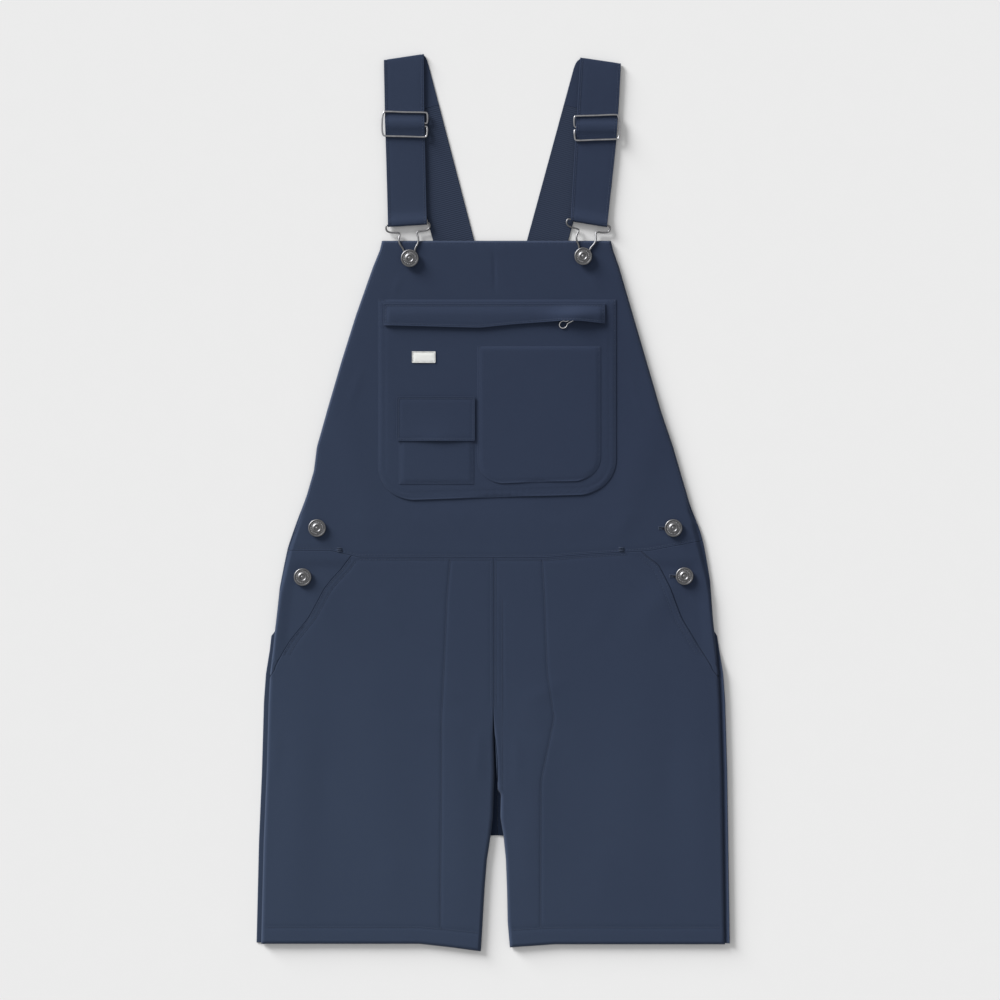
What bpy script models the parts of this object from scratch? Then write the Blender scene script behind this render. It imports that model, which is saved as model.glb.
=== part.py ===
"""Shortalls in plain navy cloth, laid flat on their back with the front up.

The garment lies in the XY plane on z = 0, with its straps towards +Y. Sizes are in
millimetres. "Left" and "right" are as seen from above, with the straps away from the viewer.
"""

from math import cos, exp, pi, radians, sin, sqrt, tan

import bmesh
import bpy
from mathutils import Vector

MM = 0.001

# Cloth, seams and the height of the layers
GAP = 0.3                 # between pieces at a seam, and between one layer and the next
CLOTH = 1.2               # wall of the front and back panels
PATCH = 1.0               # wall of what is sewn on the bib
REST = CLOTH + GAP        # underside of the front where it lies on the back
FULL = 3.9                # underside of the front away from its edges
ROUNDING = 16.0           # how far in from an edge the front takes to reach its full height

# Levels along the garment
BIB_TOP = 274.6
YOKE_TOP = 181.0
BACK_SIDE_TOP = 60.0      # where the back's sides begin, under the bib's
WAIST = -58.0
FRONT_CROTCH = -220.0
BACK_CROTCH = -349.7
HEM = -463.4
CENTRE = 0.35             # the front's centre seam, and then the back's
BACK_SEAM = 4.7
HEM_STEP = 1.2            # how much shorter than the front the back's hems are

# The front's outer edges. Below the side openings the back shows past them as a narrow strip.
FRONT_SIDES = {
    "y": (274.6, 265.1, 247.3, 196.9, 146.5, 96.1, 58.3, 33.1, 7.9, -17.3, -55.1, -92.9,
          -134.9, -153.8, -180.1, -209.5, -283.0, -356.5, -475.0),
    "left": (-116.6, -118.7, -126.0, -143.8, -159.6, -174.3, -184.8, -188.0, -195.3, -203.7,
             -215.2, -223.7, -228.9, -230.8, -234.0, -235.5, -237.6, -240.7, -243.6),
    "right": (123.9, 126.0, 132.3, 147.0, 161.7, 176.4, 189.0, 196.3, 203.7, 210.0,
              219.5, 227.9, 232.1, 234.2, 237.0, 238.6, 240.7, 241.8, 243.6),
}
BACK_SIDES = {
    "y": (181.0, 149.6, 118.1, 86.6, 65.6, 52.0, 41.0, 33.1, 7.9, -17.3, -55.1, -92.9, -130.7,
          -135.5, -139.1, -153.8, -180.1, -209.5, -283.0, -356.5, -475.0),
    "left": (-39.5, -51.5, -68.0, -95.5, -127.0, -158.0, -179.0, -185.5, -193.3, -201.7,
             -213.2, -221.7, -227.0, -229.0, -232.6, -234.2, -238.4, -240.5, -242.6, -245.7, -248.5),
    "right": (54.5, 66.0, 83.0, 110.0, 141.0, 168.0, 186.0, 193.5, 201.7, 208.0,
              217.5, 225.9, 230.2, 232.4, 235.2, 237.3, 241.5, 243.6, 245.7, 246.8, 248.5),
}
# Mouths of the scooped front pockets, from the waist seam to the sides
POCKET_MOUTHS = {
    "y": (-58.0, -74.0, -94.5, -121.3, -144.4, -160.1, -172.0),
    "left": (-148.1, -158.6, -176.9, -193.2, -212.1, -221.5, -228.0),
    "right": (155.0, 173.5, 185.5, 197.5, 211.5, 221.5, 229.0),
}
FACING_FOOT = -166.0
FACING_STEP = 0.8
# Inner edges of the legs, from the front crotch to the hems
INSIDE_LEGS = {
    "y": (-220.0, -244.0, -265.0, -286.0, -301.0, -306.0, -330.0, -350.0, -375.0, -405.0, -438.0, -475.0),
    "left": (0.2, 0.3, 1.3, 1.7, 1.0, 0.7, 0.0, -2.5, -6.4, -8.8, -11.0, -13.6),
    "right": (0.5, 1.8, 3.1, 4.0, 4.8, 8.2, 7.6, 11.1, 13.5, 14.7, 15.4, 18.8),
}
# How far the waist seam and the hems leave a level line
WAIST_SEAM = {
    "x": (-260.0, -170.0, -140.0, 55.0, 100.0, 163.0, 220.0, 260.0),
    "y": (8.0, 7.5, 0.5, 0.0, 3.6, 7.2, 18.0, 26.0),
}
HEM_LINE = {
    "x": (-260.0, -77.0, -45.0, -13.5, 18.9, 65.0, 260.0),
    "y": (0.3, 0.3, -3.3, -7.5, -3.4, -0.2, -0.2),
}

# Soft folds of the front: middle, half length, half width, height and turn from the Y axis
FOLDS = (
    {"x": -205.0, "y": -330.0, "long": 120.0, "wide": 22.0, "high": 0.8, "turn": -3.0},
    {"x": -120.0, "y": -300.0, "long": 140.0, "wide": 30.0, "high": 0.5, "turn": 4.0},
    {"x": -35.0, "y": -330.0, "long": 110.0, "wide": 20.0, "high": 0.8, "turn": 2.0},
    {"x": 40.0, "y": -320.0, "long": 110.0, "wide": 20.0, "high": 0.8, "turn": -3.0},
    {"x": 150.0, "y": -290.0, "long": 130.0, "wide": 32.0, "high": 0.5, "turn": -4.0},
    {"x": 215.0, "y": -300.0, "long": 110.0, "wide": 20.0, "high": 0.7, "turn": 3.0},
    {"x": -150.0, "y": 60.0, "long": 90.0, "wide": 20.0, "high": 0.7, "turn": 16.0},
    {"x": 158.0, "y": 50.0, "long": 95.0, "wide": 20.0, "high": 0.7, "turn": -17.0},
    {"x": -185.0, "y": -100.0, "long": 45.0, "wide": 16.0, "high": 0.7, "turn": 38.0},
    {"x": 182.0, "y": -95.0, "long": 45.0, "wide": 16.0, "high": 0.7, "turn": -38.0},
    {"x": 5.0, "y": -20.0, "long": 22.0, "wide": 110.0, "high": 0.5, "turn": 0.0},
)

# Pieces on the bib: their edges, with how far each stands off the bib's cloth
BIB_POCKET = {"top": 212.6, "bottom": 5.2, "left": -120.5, "right": 129.2, "corner": 37.0}
INNER_POCKET = {"top": 163.5, "bottom": 21.0, "left": -16.3, "right": 113.0, "corner": 26.0}
SMALL_POCKET = {"top": 107.0, "bottom": 19.0, "left": -98.5, "right": -20.0, "corner": 1.0}
SMALL_FLAP = {"top": 110.8, "bottom": 64.5, "left": -100.8, "right": -18.9, "corner": 1.0}
BIB_FLAP = {"top": 208.4, "bottom": 186.0, "left": -114.5, "right": 117.6, "corner": 1.0}
ZIP_TAPE = {"top": 200.5, "bottom": 191.6, "left": -108.0, "right": 112.0, "corner": 0.5}
LABEL = {"top": 158.3, "bottom": 146.3, "left": -84.8, "right": -60.3, "corner": 0.5}
FLAP_EDGE = {
    "x": (-120.0, -106.0, -14.0, 21.0, 72.0, 90.0, 120.0),
    "y": (-0.7, -0.7, -3.3, 0.4, 4.1, 4.1, 0.9),
}
POCKET_TILT = 0.03        # rise of the pockets' lower edges towards the right
LAYER = PATCH + GAP
TAPE = 0.6                # wall of the zip's tape
TAG = 0.5                 # wall of the label
FLAP_RISE = 1.4           # how far the long flap's free edge stands up, and more over the slider
SLIDER_RISE = 4.0
SMALL_RISE = 1.3

# Buttons, and the wire of the hooks and sliders
BUTTON_RADIUS = 9.3
NECK_RADIUS = 3.6
WIRE = 1.9
BIB_BUTTONS = {"left": (-87.2, 255.7), "right": (94.5, 257.8)}
SIDE_BUTTONS = {
    "upper_left": (-184.3, -26.8),
    "lower_left": (-199.5, -78.2),
    "upper_right": (189.0, -26.8),
    "lower_right": (200.6, -77.2),
}

# Zip slider and pull, under the flap's right half
SLIDER_PLACE = (89.5, 194.6)
SLIDER_HALF = (4.6, 3.6)
SLIDER_WALL = 1.0
BRIDGE_POST = 0.9
BRIDGE_WALL = 0.5
PULL_TURN = 207.0         # the way the pull points, in degrees from +X
PULL_SETBACK = 2.9        # from the slider's middle to the pull's hinge
PULL_LEVEL = 5.0          # how far the pull stays level before it drops to the pocket
PULL_LINK = 10.8
PULL_LOOP = 4.2
PULL_NECK = 1.1           # half the way between the two wires of the pull's neck
PULL_WIRE = 1.2

# Straps: edges of the front straps and of the back straps
STRAP = 1.0
FRONT_STRAPS = {
    "left": {
        "y": (466.7, 403.7, 338.6, 293.0),
        "outer": (-114.5, -113.4, -111.3, -110.2),
        "inner": (-72.5, -71.8, -70.4, -69.3),
        "middle": (-93.5, -92.6, -90.9, -89.8),
    },
    "right": {
        "y": (463.0, 422.0, 376.0, 293.0),
        "outer": (134.2, 132.3, 129.2, 119.6),
        "inner": (91.6, 89.0, 86.1, 81.6),
        "middle": (112.9, 110.7, 107.7, 100.6),
    },
}
BACK_STRAPS = {
    "left": {"top": (-92.0, 469.5), "foot": (-16.9, 181.3), "width": 42.0},
    "right": {"top": (109.0, 465.0), "foot": (31.9, 181.3), "width": 42.0},
}
ELASTIC_TOP = 411.5
ELASTIC = 1.2
GLIDE_LEVEL = {"left": 396.5, "right": 393.0}
GLIDE_WIDTH = 46.5
GLIDE_HEIGHT = 26.0

COLOURS = {
    "cloth": ((0.036, 0.050, 0.082), 0.85, 0.0),
    "elastic": ((0.033, 0.046, 0.074), 0.9, 0.0),
    "label": ((0.75, 0.75, 0.73), 0.8, 0.0),
    "gunmetal": ((0.16, 0.16, 0.17), 0.35, 1.0),
    "silver": ((0.62, 0.62, 0.63), 0.25, 1.0),
}


def finish_material(finish):
    """A plain Principled material for one of the finishes, made once."""
    known = bpy.data.materials.get(finish)
    if known:
        return known
    colour, roughness, metallic = COLOURS[finish]
    material = bpy.data.materials.new(finish)
    material.use_nodes = True
    shader = material.node_tree.nodes["Principled BSDF"]
    shader.inputs["Base Color"].default_value = (*colour, 1.0)
    shader.inputs["Roughness"].default_value = roughness
    shader.inputs["Metallic"].default_value = metallic
    return material


def add_object(name, data, finish):
    """Link a mesh or curve as a named object with its finish."""
    thing = bpy.data.objects.new(name, data)
    thing.data.materials.append(finish_material(finish))
    bpy.context.scene.collection.objects.link(thing)
    return thing


def add_solid(name, shape, finish):
    """Turn a bmesh in millimetres into an object in metres, with its faces pointing out."""
    bmesh.ops.recalc_face_normals(shape, faces=shape.faces)
    bmesh.ops.scale(shape, vec=(MM, MM, MM), verts=shape.verts)
    mesh = bpy.data.meshes.new(name)
    shape.to_mesh(mesh)
    shape.free()
    mesh.shade_smooth()
    mesh.set_sharp_from_angle(angle=radians(35.0))
    return add_object(name, mesh, finish)


def smooth(value):
    """Ease from 0 to 1 while value goes from 0 to 1."""
    value = min(max(value, 0.0), 1.0)
    return value * value * (3.0 - 2.0 * value)


def read(table, key, column, place):
    """Read one column of a table at a place along its key column, with straight lines between rows."""
    places = table[key]
    values = table[column]
    rising = places[-1] > places[0]
    for index in range(len(places) - 1):
        inside = place <= places[index + 1] if rising else place >= places[index + 1]
        if inside or index == len(places) - 2:
            share = (place - places[index]) / (places[index + 1] - places[index])
            share = min(max(share, 0.0), 1.0)
            return values[index] + share * (values[index + 1] - values[index])
    return values[-1]


def fold_height(x, y):
    """Height that the soft folds add at a point."""
    total = 0.0
    for fold in FOLDS:
        turn = radians(fold["turn"])
        across = (x - fold["x"]) * cos(turn) + (y - fold["y"]) * sin(turn)
        along = -(x - fold["x"]) * sin(turn) + (y - fold["y"]) * cos(turn)
        total += fold["high"] * exp(-(across / fold["wide"]) ** 2 - (along / fold["long"]) ** 2)
    return total


def front_lift(x, y):
    """Height of the front's underside. It is low at every free edge and level between them."""
    left = read(FRONT_SIDES, "y", "left", y)
    right = read(FRONT_SIDES, "y", "right", y)
    from_side = min(x - left, right - x)
    from_end = min(BIB_TOP - y, y - HEM - read(HEM_LINE, "x", "y", x))
    opening = smooth((FRONT_CROTCH - y) / 60.0)
    column = "left" if x < CENTRE + 4.0 * opening else "right"
    inside = read(INSIDE_LEGS, "y", column, y)
    from_inside = abs(x - inside)
    rise = smooth(from_end / ROUNDING) * (1.0 - opening * (1.0 - smooth(from_inside / ROUNDING)))
    middle = REST + (FULL - REST + fold_height(x, y)) * rise
    side = REST * smooth((BACK_SIDE_TOP + 24.0 - y) / 24.0)
    return side + (middle - side) * smooth(from_side / ROUNDING)


def facing_lift(x, y):
    """Underside of the pocket facings: a step below the front legs along the pocket mouths."""
    from_side = min(x - read(FRONT_SIDES, "y", "left", y), read(FRONT_SIDES, "y", "right", y) - x)
    return front_lift(x, y) - FACING_STEP * smooth((from_side - 2.0) / 14.0) * smooth((WAIST - y) / 12.0)


def on_front(offset):
    """A height function for what lies on the front, at an even distance above its cloth."""
    return lambda x, y: front_lift(x, y) + CLOTH + GAP + offset


def spread(start, end, insets, gaps):
    """Places from start to end, close together near both ends and even between them."""
    near = [start + inset for inset in insets]
    far = [end - inset for inset in reversed(insets)]
    step = (far[0] - near[-1]) / gaps
    return near + [near[-1] + step * count for count in range(1, gaps)] + far


def add_panel(name, rows, underside, wall, finish="cloth"):
    """Make a wall of cloth over a grid of points, with its underside at the given height."""
    shape = bmesh.new()
    sides = []
    for lift in (0.0, wall):
        sides.append([[shape.verts.new((x, y, underside(x, y) + lift)) for x, y in row] for row in rows])
    last_row = len(rows) - 1
    last_column = len(rows[0]) - 1
    for grid in sides:
        for row in range(last_row):
            for column in range(last_column):
                shape.faces.new((grid[row][column], grid[row + 1][column],
                                 grid[row + 1][column + 1], grid[row][column + 1]))
    rim = [(0, column) for column in range(last_column)]
    rim += [(row, last_column) for row in range(last_row)]
    rim += [(last_row, column) for column in range(last_column, 0, -1)]
    rim += [(row, 0) for row in range(last_row, 0, -1)]
    for index, (row, column) in enumerate(rim):
        next_row, next_column = rim[(index + 1) % len(rim)]
        shape.faces.new((sides[0][row][column], sides[0][next_row][next_column],
                         sides[1][next_row][next_column], sides[1][row][column]))
    return add_solid(name, shape, finish)


def waist_shift(x, y):
    """How far a point near the waist seam moves to follow the seam's line."""
    return read(WAIST_SEAM, "x", "y", x) * (1.0 - smooth(abs(y - WAIST) / 70.0))


def hem_shift(x, y):
    """How far a point near the hem moves to follow the hem's line."""
    return read(HEM_LINE, "x", "y", x) * (1.0 - smooth((y - HEM) / 60.0))


# The columns of the front panels are laid out once, along the waist seam, and shared by all of
# them, so that the pieces on either side of a seam have the same corners.
EDGE_INSETS = (0.0, 2.5, 6.5, 13.0)
WAIST_LEFT = read(FRONT_SIDES, "y", "left", WAIST)
WAIST_RIGHT = read(FRONT_SIDES, "y", "right", WAIST)
MOUTH_LEFT = POCKET_MOUTHS["left"][0]
MOUTH_RIGHT = POCKET_MOUTHS["right"][0]
FACING_COLUMNS = {
    "left": [WAIST_LEFT + inset for inset in EDGE_INSETS] + [-189.0, -170.0, MOUTH_LEFT],
    "right": [MOUTH_RIGHT, 175.0, 192.0] + [WAIST_RIGHT - inset for inset in reversed(EDGE_INSETS)],
}
LEG_COLUMNS = {
    "left": spread(MOUTH_LEFT, CENTRE, EDGE_INSETS, 6),
    "right": spread(CENTRE, MOUTH_RIGHT, EDGE_INSETS, 6),
}
BIB_COLUMNS = (FACING_COLUMNS["left"] + LEG_COLUMNS["left"][1:]
               + LEG_COLUMNS["right"][1:] + FACING_COLUMNS["right"][1:])


def shares(columns):
    """Turn column places into shares of the whole width."""
    width = columns[-1] - columns[0]
    return [(place - columns[0]) / width for place in columns]


def front_rows(levels, left, right, columns):
    """Points of a front panel: each level from its left edge to its right edge, in shared shares."""
    rows = []
    for level in levels:
        start, end = left(level), right(level)
        row = []
        for share in shares(columns):
            x = start + share * (end - start)
            row.append((x, level + waist_shift(x, level) + hem_shift(x, level)))
        rows.append(row)
    return rows


BIB_LEVELS = (BIB_TOP, 272.0, 268.0, 263.0, 257.0, 247.3, 233.0, 215.0, 196.9, 180.0, 163.0, 146.5,
              130.0, 113.0, 96.1, 77.0, 58.3, 45.0, 33.1, 20.0, 7.9, -4.0, -17.3, -36.0, WAIST + GAP / 2)
MOUTH_LEVELS = (WAIST - GAP / 2, -66.0, -74.0, -84.0, -94.5, -108.0, -121.3, -134.9, -144.4, -153.8,
                -160.1, FACING_FOOT)
LEG_LEVELS = MOUTH_LEVELS + (-172.0, -180.1, -194.0, -209.5, FRONT_CROTCH, -232.0, -244.0, -265.0,
                             -286.0, -301.0, -306.0, -330.0, -350.0, -375.0, -405.0, -430.0, -447.0, -454.0,
                             -459.0, -462.0, HEM)


def build_front():
    """The bib, the two front legs, and the facings inside the pocket mouths."""
    def side(column):
        return lambda level: read(FRONT_SIDES, "y", column, level)

    add_panel("front_bib", front_rows(BIB_LEVELS, side("left"), side("right"), BIB_COLUMNS),
              front_lift, CLOTH)

    def mouth_or_side(column):
        def edge(level):
            foot = POCKET_MOUTHS["y"][-1]
            if level >= foot:
                return read(POCKET_MOUTHS, "y", column, level)
            below = smooth((foot - level) / 14.0)
            last = POCKET_MOUTHS[column][-1]
            return last + below * (read(FRONT_SIDES, "y", column, level) - last)
        return edge

    def inside(column, offset):
        def edge(level):
            if level >= FRONT_CROTCH:
                return CENTRE + offset
            return read(INSIDE_LEGS, "y", column, level)
        return edge

    add_panel("front_leg_left",
              front_rows(LEG_LEVELS, mouth_or_side("left"), inside("left", -GAP / 2), LEG_COLUMNS["left"]),
              front_lift, CLOTH)
    add_panel("front_leg_right",
              front_rows(LEG_LEVELS, inside("right", GAP / 2), mouth_or_side("right"), LEG_COLUMNS["right"]),
              front_lift, CLOTH)

    def mouth(column, offset):
        return lambda level: read(POCKET_MOUTHS, "y", column, level) + offset

    add_panel("pocket_facing_left",
              front_rows(MOUTH_LEVELS, side("left"), mouth("left", -GAP), FACING_COLUMNS["left"]),
              facing_lift, CLOTH)
    add_panel("pocket_facing_right",
              front_rows(MOUTH_LEVELS, mouth("right", GAP), side("right"), FACING_COLUMNS["right"]),
              facing_lift, CLOTH)


def build_back():
    """The back yoke and the two back legs, flat on what the garment lies on."""
    def flat(x, y):
        return 0.0

    def back(column):
        return lambda level: read(BACK_SIDES, "y", column, level)

    def rows(levels, left, right, gaps):
        result = []
        for level in levels:
            start, end = left(level), right(level)
            points = [start + (end - start) * count / gaps for count in range(gaps + 1)]
            shorter = HEM_STEP * smooth((HEM + 23.4 - level) / 20.0)
            result.append([(x, level + hem_shift(x, level) + shorter) for x in points])
        return result

    yoke_levels = BACK_SIDES["y"][:11] + (WAIST + GAP / 2,)
    add_panel("back_yoke", rows(yoke_levels, back("left"), back("right"), 6), flat, CLOTH)

    def inside(column, offset, inset):
        def edge(level):
            if level > BACK_CROTCH:
                return BACK_SEAM + offset
            return read(INSIDE_LEGS, "y", column, level) + inset
        return edge

    leg_levels = ((WAIST - GAP / 2,) + BACK_SIDES["y"][11:19]
                  + (-310.0, BACK_CROTCH + 0.4, BACK_CROTCH, -375.0, -405.0, -438.0, HEM))
    add_panel("back_leg_left", rows(leg_levels, back("left"), inside("left", -GAP / 2, -0.8), 5),
              flat, CLOTH)
    add_panel("back_leg_right", rows(leg_levels, inside("right", GAP / 2, 0.8), back("right"), 5),
              flat, CLOTH)


def patch_rows(size, level_count, column_count, tilt=0.0, lower_edge=None):
    """Points of a patch with round lower corners, whose lower edge may slope or wave."""
    corner = size["corner"]
    tall = size["top"] - size["bottom"]
    straight = [size["top"] - (tall - corner) * step / level_count for step in range(level_count + 1)]
    turn_steps = 6 if corner > 5.0 else 1
    turns = [size["bottom"] + corner * (1.0 - sin(pi / 2 * step / turn_steps))
             for step in range(1, turn_steps + 1)]
    centre = (size["left"] + size["right"]) / 2
    rows = []
    for level in straight + turns:
        down = max(size["bottom"] + corner - level, 0.0)
        round_in = corner - sqrt(max(corner * corner - down * down, 0.0))
        start = size["left"] + round_in
        end = size["right"] - round_in
        share = smooth((size["top"] - level) / tall)
        row = []
        for count in range(column_count + 1):
            x = start + (end - start) * count / column_count
            shift = tilt * (x - centre)
            if lower_edge:
                shift += read(lower_edge, "x", "y", x)
            row.append((x, level + share * shift))
        rows.append(row)
    return rows


def flap_share(size, y):
    """How far down a flap a point is, from 0 at its seam to 1 at its free edge."""
    return min(max((size["top"] - y) / (size["top"] - size["bottom"]), 0.0), 1.0)


def flap_lift(x, y):
    """Underside of the long flap: seamed down at its top, lifted at its edge and over the slider."""
    down = flap_share(BIB_FLAP, y)
    over_slider = exp(-((x - SLIDER_PLACE[0] + 3.0) / 17.0) ** 2)
    rise = FLAP_RISE * smooth(down / 0.55) + SLIDER_RISE * over_slider * smooth(down / 0.4)
    return on_front(LAYER + rise)(x, y)


def small_flap_lift(x, y):
    """Underside of the small flap: bowed up in the middle of its free edge."""
    down = flap_share(SMALL_FLAP, y)
    middle = exp(-((x + 55.0) / 22.0) ** 2)
    return on_front(2 * LAYER + SMALL_RISE * middle * down ** 3)(x, y)


def build_bib_pockets():
    """Everything that is sewn on the bib, each layer worked out from the bib's own surface."""
    add_panel("bib_pocket", patch_rows(BIB_POCKET, 12, 16, POCKET_TILT), on_front(0.0), PATCH)
    add_panel("inner_pocket", patch_rows(INNER_POCKET, 8, 9, POCKET_TILT), on_front(LAYER), PATCH)
    add_panel("small_pocket", patch_rows(SMALL_POCKET, 5, 6), on_front(LAYER), PATCH)
    add_panel("small_pocket_flap", patch_rows(SMALL_FLAP, 5, 10), small_flap_lift, PATCH)
    add_panel("bib_flap", patch_rows(BIB_FLAP, 6, 30, 0.0, FLAP_EDGE), flap_lift, PATCH)
    add_panel("zip_tape", patch_rows(ZIP_TAPE, 1, 14), on_front(LAYER), TAPE)
    add_panel("label", patch_rows(LABEL, 2, 3), on_front(LAYER), TAG, "label")


def add_turned(name, x, y, base, profile, finish, segments=18):
    """Turn a profile of (radius, height) steps about a vertical axis. It starts and ends on the axis."""
    shape = bmesh.new()
    rings = []
    for radius, height in profile:
        if radius == 0.0:
            rings.append([shape.verts.new((x, y, base + height))])
            continue
        rings.append([shape.verts.new((x + radius * cos(2 * pi * step / segments),
                                       y + radius * sin(2 * pi * step / segments), base + height))
                      for step in range(segments)])
    for lower, upper in zip(rings, rings[1:]):
        for step in range(segments):
            after = (step + 1) % segments
            corners = [lower[step % len(lower)], lower[after % len(lower)],
                       upper[after % len(upper)], upper[step % len(upper)]]
            shape.faces.new(list(dict.fromkeys(corners)))
    return add_solid(name, shape, finish)


def button_profile(neck):
    """Half section of a stamped metal button: a neck, a head with a rolled rim and a raised ring."""
    rim = BUTTON_RADIUS
    return ((0.0, 0.0), (NECK_RADIUS, 0.0), (NECK_RADIUS, neck), (rim - 1.2, neck), (rim, neck + 0.9),
            (rim - 0.5, neck + 1.9), (rim - 1.7, neck + 2.2), (rim - 2.6, neck + 1.8), (5.0, neck + 2.3),
            (3.6, neck + 2.9), (2.5, neck + 2.7), (1.4, neck + 1.9), (0.0, neck + 1.8))


def cloth_top(x, y, reach, underside=front_lift):
    """Highest point of the front's cloth within a reach of a place."""
    around = [(x + reach * cos(turn * pi / 4), y + reach * sin(turn * pi / 4)) for turn in range(8)]
    return max(underside(*point) + CLOTH for point in around + [(x, y)])


def build_buttons():
    """Two buttons that the hooks catch on, and two at each side opening."""
    for side, (x, y) in BIB_BUTTONS.items():
        base = cloth_top(x, y, NECK_RADIUS) + GAP
        add_turned("bib_button_" + side, x, y, base, button_profile(WIRE + 2 * GAP), "gunmetal")
    for place, (x, y) in SIDE_BUTTONS.items():
        cloth = facing_lift if place.startswith("lower") else front_lift
        base = cloth_top(x, y, NECK_RADIUS, cloth) + GAP
        neck = max(cloth_top(x, y, BUTTON_RADIUS, cloth) + GAP - base, 0.8)
        add_turned("side_button_" + place, x, y, base, button_profile(neck), "gunmetal")


def add_wire(name, points, thickness, finish, closed=False):
    """Lay a round wire along points. An open one has filled ends."""
    curve = bpy.data.curves.new(name, "CURVE")
    curve.dimensions = "3D"
    curve.bevel_depth = thickness / 2 * MM
    curve.bevel_resolution = 1
    curve.use_fill_caps = not closed
    spline = curve.splines.new("POLY")
    spline.points.add(len(points) - 1)
    for point, place in zip(spline.points, points):
        point.co = (place[0] * MM, place[1] * MM, place[2] * MM, 1.0)
    spline.use_cyclic_u = closed
    return add_object(name, curve, finish)


def round_corners(points, closed, passes=1):
    """Cut the corners of a path again and again, which turns it into a smooth bend."""
    for _ in range(passes):
        result = [] if closed else [points[0]]
        count = len(points) if closed else len(points) - 1
        for index in range(count):
            start = Vector(points[index])
            end = Vector(points[(index + 1) % len(points)])
            result.append(start.lerp(end, 0.25))
            result.append(start.lerp(end, 0.75))
        if not closed:
            result.append(points[-1])
        points = result
    return points


# Half of a bib hook, from the bar in the strap's end to the far side of the button's neck:
# distance from its middle line, and distance from the button towards the strap
HOOK_HALF = (
    {"out": 9.0, "up": 36.6}, {"out": 20.4, "up": 36.6}, {"out": 22.6, "up": 35.8},
    {"out": 23.2, "up": 33.4}, {"out": 22.4, "up": 30.4}, {"out": 19.5, "up": 28.7},
    {"out": 15.0, "up": 28.1}, {"out": 9.8, "up": 27.9}, {"out": 8.8, "up": 25.6},
    {"out": 10.6, "up": 20.6}, {"out": 9.6, "up": 15.2}, {"out": 6.0, "up": 10.0},
    {"out": 5.4, "up": 5.0}, {"out": 5.6, "up": 0.0}, {"out": 4.2, "up": -4.6},
)
HOOK_TURN = {"left": 3.5, "right": -9.5}
HOOK_REACH = HOOK_HALF[0]["up"]
BAR_HEIGHT = REST + STRAP + GAP + WIRE / 2


def hook_height(side, up):
    """Height of the hook's wire: level on the bib under the button, falling to the strap's bar."""
    x, y = BIB_BUTTONS[side]
    on_bib = cloth_top(x, y, BUTTON_RADIUS) + GAP + WIRE / 2
    return on_bib + (BAR_HEIGHT - on_bib) * smooth((up - 9.0) / 18.0)


def build_hooks():
    """The bent wire hooks: one closed loop of wire each, from the strap to round the button."""
    for side, (x, y) in BIB_BUTTONS.items():
        turn = radians(HOOK_TURN[side])
        half = [(point["out"], point["up"]) for point in HOOK_HALF]
        whole = [(-out, up) for out, up in half] + [(out, up) for out, up in reversed(half)]
        points = []
        for out, up in whole:
            points.append((x + out * cos(turn) - up * sin(turn), y + out * sin(turn) + up * cos(turn),
                           hook_height(side, up)))
        add_wire("bib_hook_" + side, round_corners(points, True), WIRE, "gunmetal", True)


def add_ribbon(name, sections, wall, finish="cloth"):
    """Sweep a flat strap through sections, each a left point and a right point of its middle layer."""
    shape = bmesh.new()
    rings = []
    for index, (left, right) in enumerate(sections):
        before = sections[max(index - 1, 0)]
        after = sections[min(index + 1, len(sections) - 1)]
        travel = (Vector(after[0]) + Vector(after[1]) - Vector(before[0]) - Vector(before[1])).normalized()
        across = (Vector(right) - Vector(left)).normalized()
        offset = across.cross(travel).normalized() * (wall / 2)
        left, right = Vector(left), Vector(right)
        rings.append([shape.verts.new(point) for point in
                      (left - offset, right - offset, right + offset, left + offset)])
    for lower, upper in zip(rings, rings[1:]):
        for corner in range(4):
            after = (corner + 1) % 4
            shape.faces.new((lower[corner], lower[after], upper[after], upper[corner]))
    shape.faces.new(rings[0][::-1])
    shape.faces.new(rings[-1])
    return add_solid(name, shape, finish)


def back_edge(side, edge, level):
    """Edge point of a back strap at a level along its middle line, square to the strap."""
    strap = BACK_STRAPS[side]
    top, foot = Vector(strap["top"]), Vector(strap["foot"])
    run = (foot - top).normalized()
    middle = top + run * ((level - top.y) / run.y)
    square = Vector((-run.y, run.x)) * (strap["width"] / 2)
    return middle + square if edge == "right" else middle - square


def hook_bar(side):
    """Middle of the hook's bar, which the strap's end folds round."""
    x, y = BIB_BUTTONS[side]
    turn = radians(HOOK_TURN[side])
    return Vector((x - HOOK_REACH * sin(turn), y + HOOK_REACH * cos(turn)))


def strap_point(side, edge, level):
    """Edge point of a front strap, level along most of it and square to the hook at its end."""
    bar = hook_bar(side)
    x = read(FRONT_STRAPS[side], "y", edge, level)
    near_end = 1.0 - smooth((level - bar.y - 10.0) / 60.0)
    near_top = smooth((level - 420.0) / 45.0)
    top_slope = 0.15 if side == "left" else -0.15
    slope = near_end * tan(radians(HOOK_TURN[side])) + near_top * top_slope
    middle = bar.x + (1.0 - near_end) * (read(FRONT_STRAPS[side], "y", "middle", level) - bar.x)
    return Vector((x, level + slope * (x - middle)))


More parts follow.
